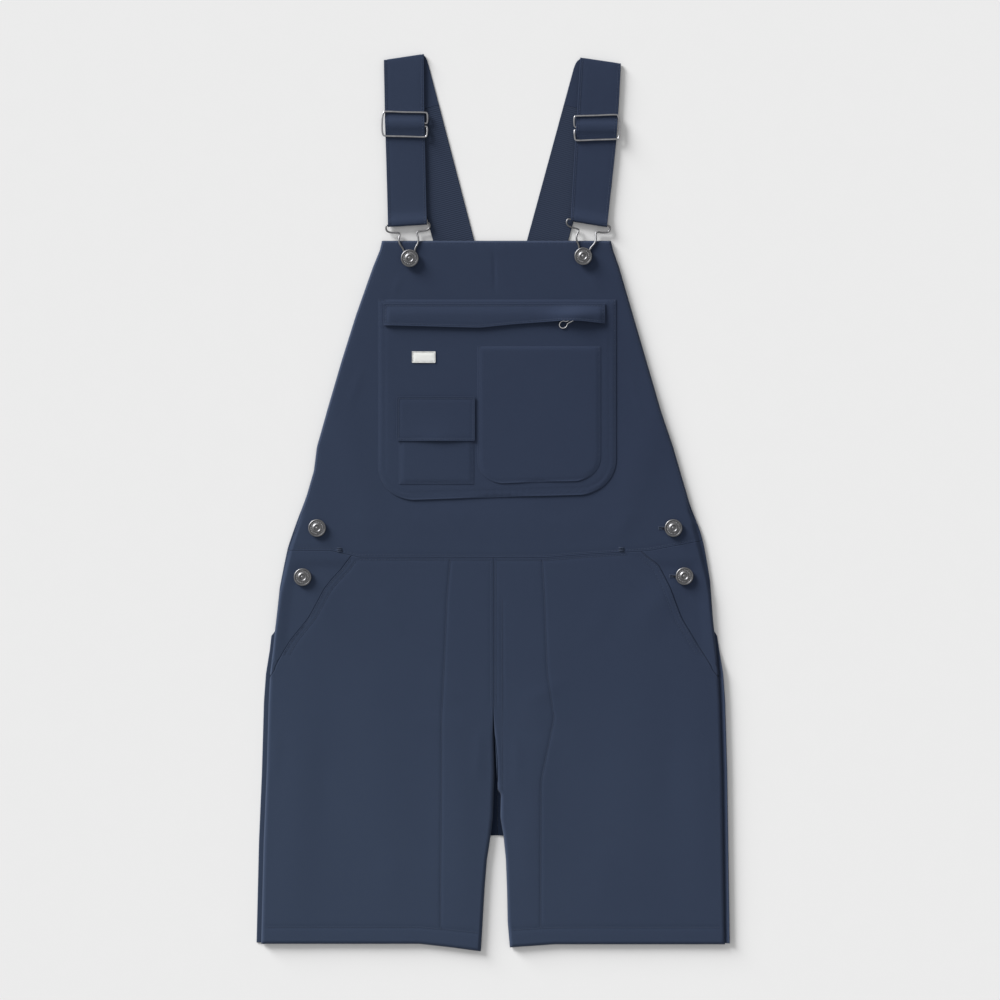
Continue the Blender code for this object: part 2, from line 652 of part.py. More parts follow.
def strap_layer_heights(side):
    """Middle height of the strap along its path, as (level, height) steps of each layer."""
    glide = GLIDE_LEVEL[side]
    low = REST + STRAP / 2
    upper = low + STRAP + GAP
    over_bar = BAR_HEIGHT + WIRE / 2 + GAP + STRAP / 2
    bar = hook_bar(side).y
    under = ((glide + 6.0, low), (glide - 20.0, low), (bar + 20.0, low), (bar + 4.0, low))
    radius = (over_bar - low) / 2
    turn = [(bar - radius * sin(pi * step / 6), low + radius * (1.0 - cos(pi * step / 6)))
            for step in range(7)]
    over = ((bar + 3.0, over_bar), (bar + 8.0, upper + 1.0), (bar + 14.0, upper + 0.1), (bar + 40.0, upper),
            (glide - 26.0, upper), (glide - GLIDE_HEIGHT / 2, upper), (glide - 7.0, upper + 1.0),
            (glide - 2.5, over_bar), (glide + 2.5, over_bar), (glide + 7.0, upper + 1.0),
            (glide + GLIDE_HEIGHT / 2, upper), (glide + 26.0, upper), (glide + 50.0, upper + 0.1))
    return under + tuple(turn) + over


def build_straps():
    """Cloth straps from the slider, round the hook and over the shoulder, and their elastic backs."""
    for side in ("left", "right"):
        table = FRONT_STRAPS[side]
        west, east = ("inner", "outer") if side == "right" else ("outer", "inner")
        sections = []
        for level, height in strap_layer_heights(side):
            sections.append(((*strap_point(side, west, level), height),
                             (*strap_point(side, east, level), height)))
        # Over the shoulder: a half turn from the front layer down to the back layer
        top = table["y"][0] - 1.0
        upper = REST + STRAP / 2 + STRAP + GAP
        lower = STRAP / 2
        radius = (upper - lower) / 2
        for step in range(1, 6):
            angle = pi * step / 6
            ahead = Vector((0.0, radius * sin(angle)))
            height = lower + radius + radius * cos(angle)
            sections.append(((*(strap_point(side, west, top) + ahead), height),
                             (*(strap_point(side, east, top) + ahead), height)))
        for level in (top - 6.0, 440.0, ELASTIC_TOP + GAP):
            left = back_edge(side, "left", level)
            right = back_edge(side, "right", level)
            sections.append(((left.x, left.y, lower), (right.x, right.y, lower)))
        add_ribbon("front_strap_" + side, sections, STRAP)
        backs = []
        for level in (ELASTIC_TOP, 350.0, 290.0, 230.0, 200.0):
            left = back_edge(side, "left", level)
            right = back_edge(side, "right", level)
            backs.append(((left.x, left.y, ELASTIC / 2), (right.x, right.y, ELASTIC / 2)))
        foot = YOKE_TOP + GAP
        left = back_edge(side, "left", foot)
        right = back_edge(side, "right", foot)
        backs.append(((left.x, foot, ELASTIC / 2), (right.x, foot, ELASTIC / 2)))
        add_ribbon("elastic_" + side, backs, ELASTIC, "elastic")


# Half round a strap slider, from the middle bar: shares of half its width and half its height,
# and 1 for a stretch that lies over the strap or 0 for one that lies under it
GLIDE_PATH = (
    {"out": -0.86, "up": 0.11, "over": 0.0}, {"out": 0.94, "up": 0.11, "over": 0.0},
    {"out": 1.00, "up": 0.14, "over": 0.3}, {"out": 1.02, "up": 0.42, "over": 0.8},
    {"out": 1.00, "up": 0.94, "over": 1.0}, {"out": 0.90, "up": 1.00, "over": 1.0},
    {"out": 0.0, "up": 0.97, "over": 1.0}, {"out": -0.88, "up": 1.00, "over": 1.0},
    {"out": -0.98, "up": 0.92, "over": 1.0}, {"out": -1.03, "up": 0.40, "over": 0.9},
    {"out": -1.03, "up": -0.40, "over": 0.9}, {"out": -0.98, "up": -0.92, "over": 1.0},
    {"out": -0.88, "up": -1.00, "over": 1.0}, {"out": 0.0, "up": -0.98, "over": 1.0},
    {"out": 0.90, "up": -1.00, "over": 1.0}, {"out": 1.00, "up": -0.94, "over": 1.0},
    {"out": 1.02, "up": -0.42, "over": 0.8}, {"out": 1.00, "up": -0.14, "over": 0.3},
    {"out": 0.94, "up": -0.11, "over": 0.0}, {"out": -0.86, "up": -0.11, "over": 0.0},
)


def build_glides():
    """The strap sliders: one bent wire each, whose two ends lie side by side as the middle bar."""
    for side in ("left", "right"):
        level = GLIDE_LEVEL[side]
        table = FRONT_STRAPS[side]
        centre = (read(table, "y", "outer", level) + read(table, "y", "inner", level)) / 2
        mirror = -1.0 if side == "right" else 1.0
        turn = radians(-1.5 if side == "left" else 2.0)
        over_strap = REST + 2 * STRAP + GAP + GAP + WIRE / 2
        under_strap = REST + STRAP + GAP + WIRE / 2
        points = []
        for step in GLIDE_PATH:
            out = mirror * step["out"] * GLIDE_WIDTH / 2
            up = step["up"] * GLIDE_HEIGHT / 2
            height = under_strap + (over_strap - under_strap) * step["over"]
            points.append((centre + out * cos(turn) - up * sin(turn),
                           level + out * sin(turn) + up * cos(turn), height))
        add_wire("strap_slider_" + side, round_corners(points, False), WIRE, "gunmetal")


def box_corners(shape, along, across, low, high, turn, origin):
    """Add a box between low and high, along a direction that is turned in the plane."""
    forward = Vector((cos(turn), sin(turn), 0.0))
    sideways = Vector((-sin(turn), cos(turn), 0.0))
    start = Vector(origin)
    corners = []
    for up in (low, high):
        for ahead, aside in ((along[0], across[0]), (along[1], across[0]),
                             (along[1], across[1]), (along[0], across[1])):
            corners.append(shape.verts.new(start + forward * ahead + sideways * aside
                                           + Vector((0.0, 0.0, up))))
    shape.faces.new(corners[3::-1])
    shape.faces.new(corners[4:])
    for index in range(4):
        after = (index + 1) % 4
        shape.faces.new((corners[index], corners[after], corners[4 + after], corners[4 + index]))


def add_tool(thing, target):
    """Join a piece to a target with a Boolean, and leave the piece out of the garment."""
    thing.hide_render = True
    thing.display_type = "WIRE"
    join = target.modifiers.new(thing.name, "BOOLEAN")
    join.operation = "UNION"
    join.object = thing


def build_zip():
    """The zip's slider, with a bridge, and the wire pull whose cross pin turns under that bridge."""
    x, y = SLIDER_PLACE
    turn = radians(PULL_TURN)
    forward = Vector((cos(turn), sin(turn), 0.0))
    sideways = Vector((-sin(turn), cos(turn), 0.0))
    on_tape = on_front(LAYER + TAPE + GAP)
    base = max(on_tape(x + dx, y + dy) for dx in (-5.0, 5.0) for dy in (-4.0, 4.0))
    body = bmesh.new()
    half_long, half_wide = SLIDER_HALF
    box_corners(body, (-half_long, half_long), (-half_wide, half_wide), 0.0, SLIDER_WALL, 0.0, (x, y, base))
    slider = add_solid("zip_slider", body, "silver")

    # The bridge: two posts and a bar over the pin, joined to the body
    hinge = Vector((x, y, base + SLIDER_WALL + GAP + PULL_WIRE / 2)) + forward * PULL_SETBACK
    foot = (hinge.x, hinge.y, base + SLIDER_WALL)
    inner = PULL_NECK + PULL_WIRE / 2 + GAP + 0.05
    outer = inner + BRIDGE_POST
    under = PULL_WIRE + 2 * GAP
    over = under + BRIDGE_WALL
    for name, across, low in (("post_a", (inner, outer), -GAP), ("post_b", (-outer, -inner), -GAP),
                              ("bridge", (-outer, outer), under)):
        piece = bmesh.new()
        box_corners(piece, (-BRIDGE_POST, BRIDGE_POST), across, low, over, turn, foot)
        add_tool(add_solid(name, piece, "silver"), slider)

    # The pull: one closed wire, from its pin under the bridge to a round loop, with its origin on the pin
    loop_place = hinge + forward * (PULL_LINK + PULL_LOOP)
    drop = on_front(LAYER)(loop_place.x, loop_place.y) + PULL_WIRE / 2 + 0.1 - hinge.z
    half = [(0.0, PULL_NECK), (2.0, PULL_NECK), (PULL_LEVEL, PULL_NECK), (PULL_LINK - 1.0, PULL_NECK)]
    half += [(PULL_LINK + PULL_LOOP * (1.0 - cos(radians(turned))), PULL_LOOP * 0.9 * sin(radians(turned)))
             for turned in range(24, 180, 24)]
    points = []
    for ahead, aside in half + [(ahead, -aside) for ahead, aside in reversed(half)]:
        share = min(max((ahead - PULL_LEVEL) / (PULL_LINK - PULL_LEVEL), 0.0), 1.0)
        points.append(forward * ahead + sideways * aside + Vector((0.0, 0.0, drop * share)))
    pull = add_wire("zip_pull", round_corners(points, True), PULL_WIRE, "silver", True)
    pull.location = hinge * MM


def build():
    """Clear the scene and make every piece."""
    for thing in list(bpy.data.objects):
        bpy.data.objects.remove(thing)
    build_back()
    build_front()
    build_bib_pockets()
    build_buttons()
    build_hooks()
    build_straps()
    build_glides()
    build_zip()


build()
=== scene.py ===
# %% [markdown]
# # Navy shortalls, laid flat
#
# The object is a pair of bib-overall shorts in smooth navy twill. It lies on its back on a pale
# floor and is seen from straight above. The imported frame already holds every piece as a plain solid,
# so this lesson only dresses it: the cloth becomes thin shells with seams and soft creases, the metal
# gets its wire, rims and marks, and the thread is laid on stitch by stitch.

# %% Load the frame
from math import cos, pi, radians, sin, tan

import bpy
import numpy as np
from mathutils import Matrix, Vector


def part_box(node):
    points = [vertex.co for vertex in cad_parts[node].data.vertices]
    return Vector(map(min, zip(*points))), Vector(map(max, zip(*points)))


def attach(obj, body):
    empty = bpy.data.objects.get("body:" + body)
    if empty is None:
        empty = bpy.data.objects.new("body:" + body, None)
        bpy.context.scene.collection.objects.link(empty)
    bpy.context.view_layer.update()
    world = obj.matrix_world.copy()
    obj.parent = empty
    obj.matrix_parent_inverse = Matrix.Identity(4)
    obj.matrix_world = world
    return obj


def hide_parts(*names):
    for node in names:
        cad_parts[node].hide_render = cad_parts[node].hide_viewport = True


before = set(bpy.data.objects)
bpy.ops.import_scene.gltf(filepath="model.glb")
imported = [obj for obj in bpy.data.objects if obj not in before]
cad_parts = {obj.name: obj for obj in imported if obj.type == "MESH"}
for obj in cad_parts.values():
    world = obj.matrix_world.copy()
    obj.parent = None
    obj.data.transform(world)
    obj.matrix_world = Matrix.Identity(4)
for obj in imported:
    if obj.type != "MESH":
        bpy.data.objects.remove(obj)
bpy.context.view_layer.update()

# %% [markdown]
# ## The camera
#
# The picture was taken from straight above, so that level edges show their true shape. The camera
# looks straight down from three metres with a long lens, which keeps the thick places from leaning
# outwards. The frame is 1.05 m wide at the floor, and one thousandth of that is one pixel.

# %% Camera
MM = 0.001
FRAME_WIDTH = 1.05
CAMERA_HEIGHT = 3.0
CAMERA_CENTRE = (7.35 * MM, 2.6 * MM)

bpy.ops.object.select_all(action="DESELECT")
bpy.ops.object.camera_add(location=(*CAMERA_CENTRE, CAMERA_HEIGHT), rotation=(0.0, 0.0, 0.0))
camera = bpy.context.object
camera.name = "camera"
camera.data.sensor_width = 36.0
camera.data.lens = camera.data.sensor_width * CAMERA_HEIGHT / FRAME_WIDTH
bpy.context.scene.camera = camera
bpy.context.scene.view_settings.view_transform = "Standard"
print("camera: lens", round(camera.data.lens, 1), "mm")

# %% [markdown]
# ## Floor and light
#
# Part of the light comes evenly from all round, and part from one wide window at the upper left. The
# window is a sun with a large angle: it stands low, so that a few millimetres of cloth throw a soft
# shadow about three times that wide, to the right and below.

# %% Light
SUN_HEIGHT = 17.0
SUN_SIDE = 135.0
SUN_WIDTH = 26.0
SUN_STRENGTH = 5.9
SKY_STRENGTH = 0.52

world = bpy.data.worlds.new("room")
world.use_nodes = True
world.node_tree.nodes["Background"].inputs["Color"].default_value = (1.0, 1.0, 1.0, 1.0)
world.node_tree.nodes["Background"].inputs["Strength"].default_value = SKY_STRENGTH
bpy.context.scene.world = world

towards_sun = Vector((cos(radians(SUN_SIDE)) * cos(radians(SUN_HEIGHT)),
                      sin(radians(SUN_SIDE)) * cos(radians(SUN_HEIGHT)),
                      sin(radians(SUN_HEIGHT))))
bpy.ops.object.light_add(type="SUN", location=towards_sun * 3.0,
                         rotation=towards_sun.to_track_quat("Z", "Y").to_euler())
window = bpy.context.object
window.name = "window"
window.data.energy = SUN_STRENGTH
window.data.angle = radians(SUN_WIDTH)
print("light: one wide sun and an even sky")

# %% [markdown]
# ## Writing shaders as sums
#
# A finish is easier to read as an expression than as a picture of nodes. `Socket` wraps one output of
# a node, and its operators add Math nodes. `Finish` makes a material and has one method, `add`, for
# every other node: its settings go in first, and then the values or links of its sockets.

# %% Shader helpers
class Socket:
    """One output of a shader node, which adds Math nodes when it is used in a sum."""

    def __init__(self, finish, output):
        self.finish = finish
        self.output = output

    def maths(self, operation, *values):
        return self.finish.add("ShaderNodeMath", {"operation": operation}, dict(enumerate(values)))

    def __add__(self, other):
        return self.maths("ADD", self, other)

    def __sub__(self, other):
        return self.maths("SUBTRACT", self, other)

    def __rsub__(self, other):
        return self.maths("SUBTRACT", other, self)

    def __mul__(self, other):
        return self.maths("MULTIPLY", self, other)

    def __truediv__(self, other):
        return self.maths("DIVIDE", self, other)

    __radd__ = __add__
    __rmul__ = __mul__

    def sine(self):
        return self.maths("SINE", self)

    def magnitude(self):
        return self.maths("ABSOLUTE", self)


class Finish:
    """A material with a Principled shader, built up one node at a time."""

    def __init__(self, name, roughness, metallic=0.0, specular=0.5, **constants):
        self.material = bpy.data.materials.new(name)
        self.material.use_nodes = True
        self.nodes = self.material.node_tree.nodes
        self.shader = self.nodes["Principled BSDF"]
        self.set("Roughness", roughness)
        self.set("Metallic", metallic)
        self.set("Specular IOR Level", specular)
        for socket, value in constants.items():
            self.set(socket.replace("_", " "), value)

    def add(self, kind, settings=None, values=None, output=0):
        node = self.nodes.new(kind)
        for name, setting in (settings or {}).items():
            setattr(node, name, setting)
        for name, value in (values or {}).items():
            if isinstance(value, Socket):
                self.material.node_tree.links.new(value.output, node.inputs[name])
            else:
                node.inputs[name].default_value = value
        return Socket(self, node.outputs[output])

    def set(self, name, value):
        if isinstance(value, Socket):
            self.material.node_tree.links.new(value.output, self.shader.inputs[name])
        else:
            self.shader.inputs[name].default_value = value

    def mix(self, share, first, second):
        """Mix two colours, each a colour or a socket."""
        return self.add("ShaderNodeMix", {"data_type": "RGBA"}, {0: share, 6: first, 7: second}, 2)

    def place(self):
        """The point's own place on the object, in metres."""
        return self.add("ShaderNodeTexCoord", None, None, 3)

    def part(self, vector, number):
        """One number of a vector: 0 is its x and 1 its y."""
        return self.add("ShaderNodeSeparateXYZ", None, {0: vector}, number)

    def noise(self, place, scale, detail=2.0):
        return self.add("ShaderNodeTexNoise", None, {"Vector": place, "Scale": scale, "Detail": detail})

    def relief(self, height, depth):
        """Feed a height to the Normal through a Bump node. The depth is in metres."""
        self.set("Normal", self.add("ShaderNodeBump", None,
                                    {"Strength": 1.0, "Distance": depth, "Height": height}))


print("shader helpers ready")

# %% [markdown]
# ## Twill, elastic and tape
#
# The cloth is a fine, smooth cotton twill: its yarns run over each other in steps, which gives slanting
# ridges about half a millimetre apart. Each cloth piece carries a UV map in metres, so the ridges keep
# their real size and follow the straps as they turn. Two close navy blues are mixed by broad and fine
# noise, because dyed cotton is never quite even, and by painted light, which makes the cloth lighter
# towards the bottom and towards the left. Between the legs the back's cloth carries painted shade.

# %% Cloth finish
TWILL_PITCH = 0.62 * MM
NAVY = (0.0225, 0.0330, 0.0640, 1.0)
NAVY_PALE_AND_LIT = (0.0310, 0.0455, 0.0800, 1.0)
# Painted shade for the back, where it lies in shade between the legs
NAVY_PAINTED_SHADE = (0.0065, 0.0125, 0.029, 1.0)
# Painted light: below this height the cloth's colour grows lighter, over this length
PAINTED_LIGHT_TOP = 0.10
PAINTED_LIGHT_LENGTH = 0.45
PAINTED_SHADE_REACH = 50.0 * MM  # how far from the middle the deep colour between the legs reaches
ELASTIC_RIB = 2.1          # mm from rib to rib


def uv_parts(finish):
    """The two numbers of the piece's own UV map, and the map itself."""
    uv = finish.add("ShaderNodeUVMap", {"uv_map": "cloth"})
    return uv, finish.part(uv, 0), finish.part(uv, 1)


def navy_twill(name, dark, light, deep=None):
    """Navy cotton. A deep colour, where there is one, is painted shade for the middle between the legs."""
    finish = Finish(name, 0.9, specular=0.12, Sheen_Weight=0.06, Sheen_Roughness=0.5)
    uv, across, along = uv_parts(finish)
    place = finish.place()
    aside = finish.part(place, 0)
    painted_light_falloff = finish.add("ShaderNodeClamp", None, {0: (PAINTED_LIGHT_TOP - finish.part(place, 1)) / PAINTED_LIGHT_LENGTH})
    broad = finish.noise(place, 9.0, 3.0)
    yarn = finish.noise(uv, 1400.0, 1.0)
    # The random tone of the dye, plus painted light: lighter towards the bottom and towards the left
    share = painted_light_falloff * 0.7 + broad * 0.35 + yarn * 0.3 - aside * 1.2 - 0.16
    colour = finish.mix(share, dark, light)
    if deep:
        # Painted shade: the back's colour darkens towards the middle, between the legs
        painted_shade_share = finish.add("ShaderNodeClamp", None, {0: 2.0 - aside.magnitude() / PAINTED_SHADE_REACH})
        colour = finish.mix(painted_shade_share, colour, deep)
    finish.set("Base Color", colour)
    finish.set("Roughness", yarn * 0.1 + 0.84)
    ridge = ((across + along) * (2 * pi / TWILL_PITCH)).sine()
    thread = ((across - along) * (2 * pi / (TWILL_PITCH * 0.45))).sine()
    finish.relief(ridge * 0.5 + thread * 0.2 + yarn * 0.9, 0.05 * MM)
    return finish.material


def ribbed_elastic(name, dark, light):
    finish = Finish(name, 0.92, specular=0.1, Sheen_Weight=0.05)
    uv, across, along = uv_parts(finish)
    rib = (along * (2 * pi / (ELASTIC_RIB * MM))).sine()
    cord = (across * (2 * pi / (1.3 * MM))).sine()
    yarn = finish.noise(uv, 1100.0, 2.0)
    finish.set("Base Color", finish.mix(rib * 0.25 + yarn * 0.4 + 0.1, dark, light))
    finish.relief(rib * 0.7 + cord * 0.3 + yarn * 0.5, 0.09 * MM)
    return finish.material


def woven_tape(name, dark, light):
    finish = Finish(name, 0.85, specular=0.2)
    uv, across, along = uv_parts(finish)
    weave = (across * (2 * pi / (0.9 * MM))).sine() * (along * (2 * pi / (0.7 * MM))).sine()
    yarn = finish.noise(uv, 900.0, 1.0)
    finish.set("Base Color", finish.mix(weave * 0.2 + yarn * 0.5 + 0.15, dark, light))
    finish.relief(weave, 0.07 * MM)
    return finish.material


def sewing_thread(name, dark, light):
    finish = Finish(name, 0.7, specular=0.25)
    twist = finish.noise(finish.place(), 2600.0, 1.0)
    finish.set("Base Color", finish.mix(twist, dark, light))
    finish.relief(twist, 0.06 * MM)
    return finish.material


CLOTH_LOOK = navy_twill("navy_twill", NAVY, NAVY_PALE_AND_LIT)
# The back's look: the same cloth, with painted shade between the legs
BACK_PAINTED_SHADE_LOOK = navy_twill("navy_twill_painted_shade", NAVY, NAVY_PALE_AND_LIT, NAVY_PAINTED_SHADE)
ELASTIC_LOOK = ribbed_elastic("navy_elastic", (0.023, 0.032, 0.057, 1.0), (0.031, 0.043, 0.075, 1.0))
LABEL_LOOK = woven_tape("white_label", (0.70, 0.71, 0.69, 1.0), (0.86, 0.87, 0.85, 1.0))
TAPE_LOOK = woven_tape("navy_zip_tape", (0.020, 0.028, 0.050, 1.0), (0.030, 0.042, 0.070, 1.0))
# A near-black look that paints the shade inside the buttonholes' slits
SLIT_SHADE_LOOK = sewing_thread("painted_slit_shade", (0.005, 0.007, 0.013, 1.0), (0.009, 0.012, 0.022, 1.0))
THREAD_LOOK = sewing_thread("navy_thread", (0.030, 0.042, 0.072, 1.0), (0.046, 0.062, 0.100, 1.0))
print("cloth finishes:", [look.name for look in (CLOTH_LOOK, ELASTIC_LOOK, LABEL_LOOK, THREAD_LOOK)])

# %% [markdown]
# ## Metal
#
# The buttons and hooks have a dark, slightly worn plating, the wire of the strap sliders is lighter, and
# the zip's slider and pull are bright. Brushed metal is mostly reflection, so it needs little colour:
# fine noise changes its roughness, and a broader one lets the bright metal show where hands rub it.

# %% Metal finishes
def plated(name, dark, bright, roughness):
    finish = Finish(name, roughness, metallic=1.0)
    place = finish.place()
    worn = finish.noise(place, 260.0, 4.0)
    grain = finish.noise(place, 3000.0, 2.0)
    finish.set("Base Color", finish.mix(worn, dark, bright))
    finish.set("Roughness", grain * 0.16 + worn * 0.14 + (roughness - 0.15))
    finish.relief(grain, 0.015 * MM)
    return finish.material


GUNMETAL_LOOK = plated("gunmetal", (0.13, 0.13, 0.135, 1.0), (0.27, 0.27, 0.28, 1.0), 0.44)
WIRE_LOOK = plated("steel_wire", (0.27, 0.27, 0.28, 1.0), (0.50, 0.50, 0.52, 1.0), 0.34)
SILVER_LOOK = plated("silver", (0.62, 0.62, 0.64, 1.0), (0.86, 0.86, 0.88, 1.0), 0.26)
print("metal finishes:", GUNMETAL_LOOK.name, WIRE_LOOK.name, SILVER_LOOK.name)

# %% [markdown]
# ## The floor
#
# A plain sheet of matt card. It is stage, not part of the object.

# %% Floor
FLOOR_TONE = 0.775

floor_look = Finish("pale_card", 0.95, specular=0.1)
card_grain = floor_look.noise(floor_look.place(), 40.0, 3.0)
card_tones = [(tone, tone, tone, 1.0) for tone in (FLOOR_TONE, FLOOR_TONE + 0.01)]
floor_look.set("Base Color", floor_look.mix(card_grain, *card_tones))
bpy.ops.object.select_all(action="DESELECT")
bpy.ops.mesh.primitive_plane_add(size=12.0, location=(0.0, 0.0, -0.1 * MM))
floor = bpy.context.object
floor.name = "floor"
floor.data.materials.append(floor_look.material)
print("floor:", floor.name)

# %% [markdown]
# ## The garment's own sizes
#
# Every soft piece is worked out from the same few tables as its plain solid: the outer edges, the inside
# legs, the pocket mouths, and the lines of the waist seam and hems. They are in millimetres, with the
# straps towards +Y, and "left" and "right" are as seen from above.

# %% Driving sizes
GAP = 0.3                  # between one layer and the next
CLOTH = 1.2                # walls: this one is the panels'
PATCH = 1.0
STRAP = 1.0
ELASTIC = 1.2
TAPE = 0.6
TAG = 0.5
LAYER = PATCH + GAP        # how much a patch raises what lies on it
REST = CLOTH + GAP         # underside of the front at its edges
FULL = 3.9                 # and in its middle, before the folds
ROUNDING = 1.7             # how far in from an edge the front takes to reach its full height
SEAM_GAP = 0.04            # between panels that are sewn edge to edge
WIRE = 1.9

BIB_TOP = 274.6
YOKE_TOP = 181.0
BACK_SIDE_TOP = 60.0
WAIST = -58.0
FACING_FOOT = -181.0
FRONT_CROTCH = -220.0
BACK_CROTCH = -349.7
HEM = -463.4
HEM_STEP = 1.2             # how far the back's hem stops short of the front's
CENTRE = 0.35
BACK_SEAM = 4.7

FRONT_SIDES = {
    "y": (274.6, 265.1, 247.3, 196.9, 146.5, 96.1, 58.3, 33.1, 7.9, -17.3, -55.1, -92.9,
          -134.9, -153.8, -180.1, -209.5, -283.0, -356.5, -475.0),
    "left": (-116.6, -118.7, -126.0, -143.8, -159.6, -174.3, -184.8, -188.0, -195.3, -203.7,
             -215.2, -223.7, -228.9, -230.8, -234.0, -235.5, -237.6, -240.7, -243.6),
    "right": (123.9, 126.0, 132.3, 147.0, 161.7, 176.4, 189.0, 196.3, 203.7, 210.0,
              219.5, 227.9, 232.1, 234.2, 237.0, 238.6, 240.7, 241.8, 243.6),
}
BACK_SIDES = {
    "y": (181.0, 149.6, 118.1, 86.6, 65.6, 52.0, 41.0, 33.1, 7.9, -17.3, -55.1, -92.9, -130.7,
          -135.5, -139.1, -153.8, -180.1, -209.5, -283.0, -356.5, -475.0),
    "left": (-39.5, -51.5, -68.0, -95.5, -127.0, -158.0, -179.0, -185.5, -193.3, -201.7, -213.2,
             -221.7, -227.0, -229.0, -232.6, -234.2, -238.4, -240.5, -242.6, -245.7, -248.5),
    "right": (54.5, 66.0, 83.0, 110.0, 141.0, 168.0, 186.0, 193.5, 201.7, 208.0, 217.5,
              225.9, 230.2, 232.4, 235.2, 237.3, 241.5, 243.6, 245.7, 246.8, 248.5),
}
POCKET_MOUTHS = {
    "y": (-58.0, -74.0, -94.5, -121.3, -144.4, -160.1, -172.0),
    "left": (-148.1, -158.6, -176.9, -193.2, -212.1, -221.5, -228.0),
    "right": (155.0, 173.5, 185.5, 197.5, 211.5, 221.5, 229.0),
}
INSIDE_LEGS = {
    "y": (-220.0, -244.0, -265.0, -286.0, -301.0, -306.0, -330.0, -350.0, -375.0, -405.0, -438.0, -475.0),
    "left": (0.2, 0.3, 1.3, 1.7, 1.0, 0.7, 0.0, -2.5, -6.4, -8.8, -11.0, -13.6),
    "right": (0.5, 1.8, 3.1, 4.0, 4.8, 8.2, 7.6, 11.1, 13.5, 14.7, 15.4, 18.8),
}
WAIST_SEAM = {
    "x": (-260.0, -170.0, -140.0, 55.0, 100.0, 163.0, 220.0, 260.0),
    "y": (8.0, 7.5, 0.5, 0.0, 3.6, 7.2, 18.0, 26.0),
}
HEM_LINE = {
    "x": (-260.0, -77.0, -45.0, -13.5, 18.9, 65.0, 260.0),
    "y": (0.3, 0.3, -3.3, -7.5, -3.4, -0.2, -0.2),
}
# The stitched lines that run down the fronts of the legs
LEG_LINES = {
    "y": (-58.0, -100.0, -178.0, -226.0, -292.0, -400.0, -475.0),
    "left": (-44.6, -48.3, -51.5, -54.1, -54.1, -55.0, -55.0),
    "right": (51.4, 54.0, 56.7, 64.0, 50.4, 50.0, 50.0),
}


def smooth(value):
    """Ease from 0 to 1 while value goes from 0 to 1."""
    value = np.clip(value, 0.0, 1.0)
    return value * value * (3.0 - 2.0 * value)


def read(table, key, column, place):
    """Read one column of a table at places along its key column, with straight lines between rows."""
    keys, values = np.array(table[key]), np.array(table[column])
    if keys[0] > keys[-1]:
        keys, values = keys[::-1], values[::-1]
    return np.interp(place, keys, values)


print("sizes: bib top", BIB_TOP, "hem", HEM, "mm")

# %% [markdown]
# ## How the cloth lies
#
# The front is two layers of cloth above the floor at its edges, and a little fuller between them, as
# worn-in cloth is. Broad soft folds and then finer creases are added to that height. A crease is a
# ridge or a trough along a short line, and each one has its own length, width and depth, because
# creases that repeat look printed. All the layers on the bib are worked out from this one surface, so
# they press together and never pass through each other.

# %% Heights
# Broad folds: middle x and y, half length, half width, height, and turn in degrees
FOLDS = (
    (-205.0, -330.0, 120.0, 22.0, 0.8, -3.0), (-120.0, -300.0, 140.0, 30.0, 0.5, 4.0),
    (-35.0, -330.0, 110.0, 20.0, 0.8, 2.0), (40.0, -320.0, 110.0, 20.0, 0.8, -3.0),
    (150.0, -290.0, 130.0, 32.0, 0.5, -4.0), (215.0, -300.0, 110.0, 20.0, 0.7, 3.0),
    (-150.0, 60.0, 90.0, 20.0, 0.7, 16.0), (158.0, 50.0, 95.0, 20.0, 0.7, -17.0),
    (-185.0, -100.0, 45.0, 16.0, 0.7, 38.0), (182.0, -95.0, 45.0, 16.0, 0.7, -38.0),
    (5.0, -20.0, 22.0, 110.0, 0.5, 0.0),
)
# Finer creases: start, end, half width, and height, which is below zero in a trough
CREASES = (
    ((1.0, 269.0), (2.0, 214.0), 2.0, -0.30), ((-96.0, 238.0), (-104.0, 218.0), 4.0, 0.18),
    ((104.0, 240.0), (112.0, 222.0), 4.5, 0.16), ((-40.0, 262.0), (30.0, 264.0), 5.0, 0.12),
    ((-135.0, 150.0), (-152.0, 96.0), 5.0, 0.22), ((142.0, 140.0), (158.0, 84.0), 5.5, 0.20),
    ((-60.0, 0.0), (-20.0, -22.0), 7.0, 0.20), ((38.0, -6.0), (92.0, -16.0), 8.0, -0.18),
    ((-150.0, -10.0), (-120.0, -38.0), 8.0, 0.24), ((150.0, -4.0), (126.0, -40.0), 8.0, 0.22),
    ((-191.0, -114.0), (-198.0, -130.0), 2.6, -0.28), ((-215.0, -128.0), (-225.0, -163.0), 2.4, -0.50),
    ((209.0, -140.0), (226.0, -168.0), 2.4, -0.55), ((-30.0, -212.0), (-78.0, -176.0), 7.0, 0.26),
    ((-22.0, -236.0), (-92.0, -226.0), 9.0, 0.22), ((28.0, -214.0), (82.0, -182.0), 7.5, 0.24),
    ((24.0, -240.0), (88.0, -236.0), 9.0, -0.16), ((-14.0, -232.0), (-16.0, -300.0), 6.0, 0.34),
    ((24.0, -236.0), (26.0, -310.0), 6.5, 0.32), ((-110.0, -360.0), (-104.0, -430.0), 12.0, 0.20),
    ((-180.0, -250.0), (-172.0, -340.0), 12.0, -0.22), ((120.0, -350.0), (112.0, -436.0), 13.0, 0.20),
    ((186.0, -240.0), (180.0, -330.0), 12.0, -0.20), ((-226.0, -230.0), (-230.0, -290.0), 5.0, 0.20),
    ((226.0, -250.0), (229.0, -320.0), 5.0, 0.18), ((-120.0, -90.0), (-96.0, -140.0), 11.0, 0.18),
    ((120.0, -96.0), (104.0, -150.0), 11.0, 0.17),
)


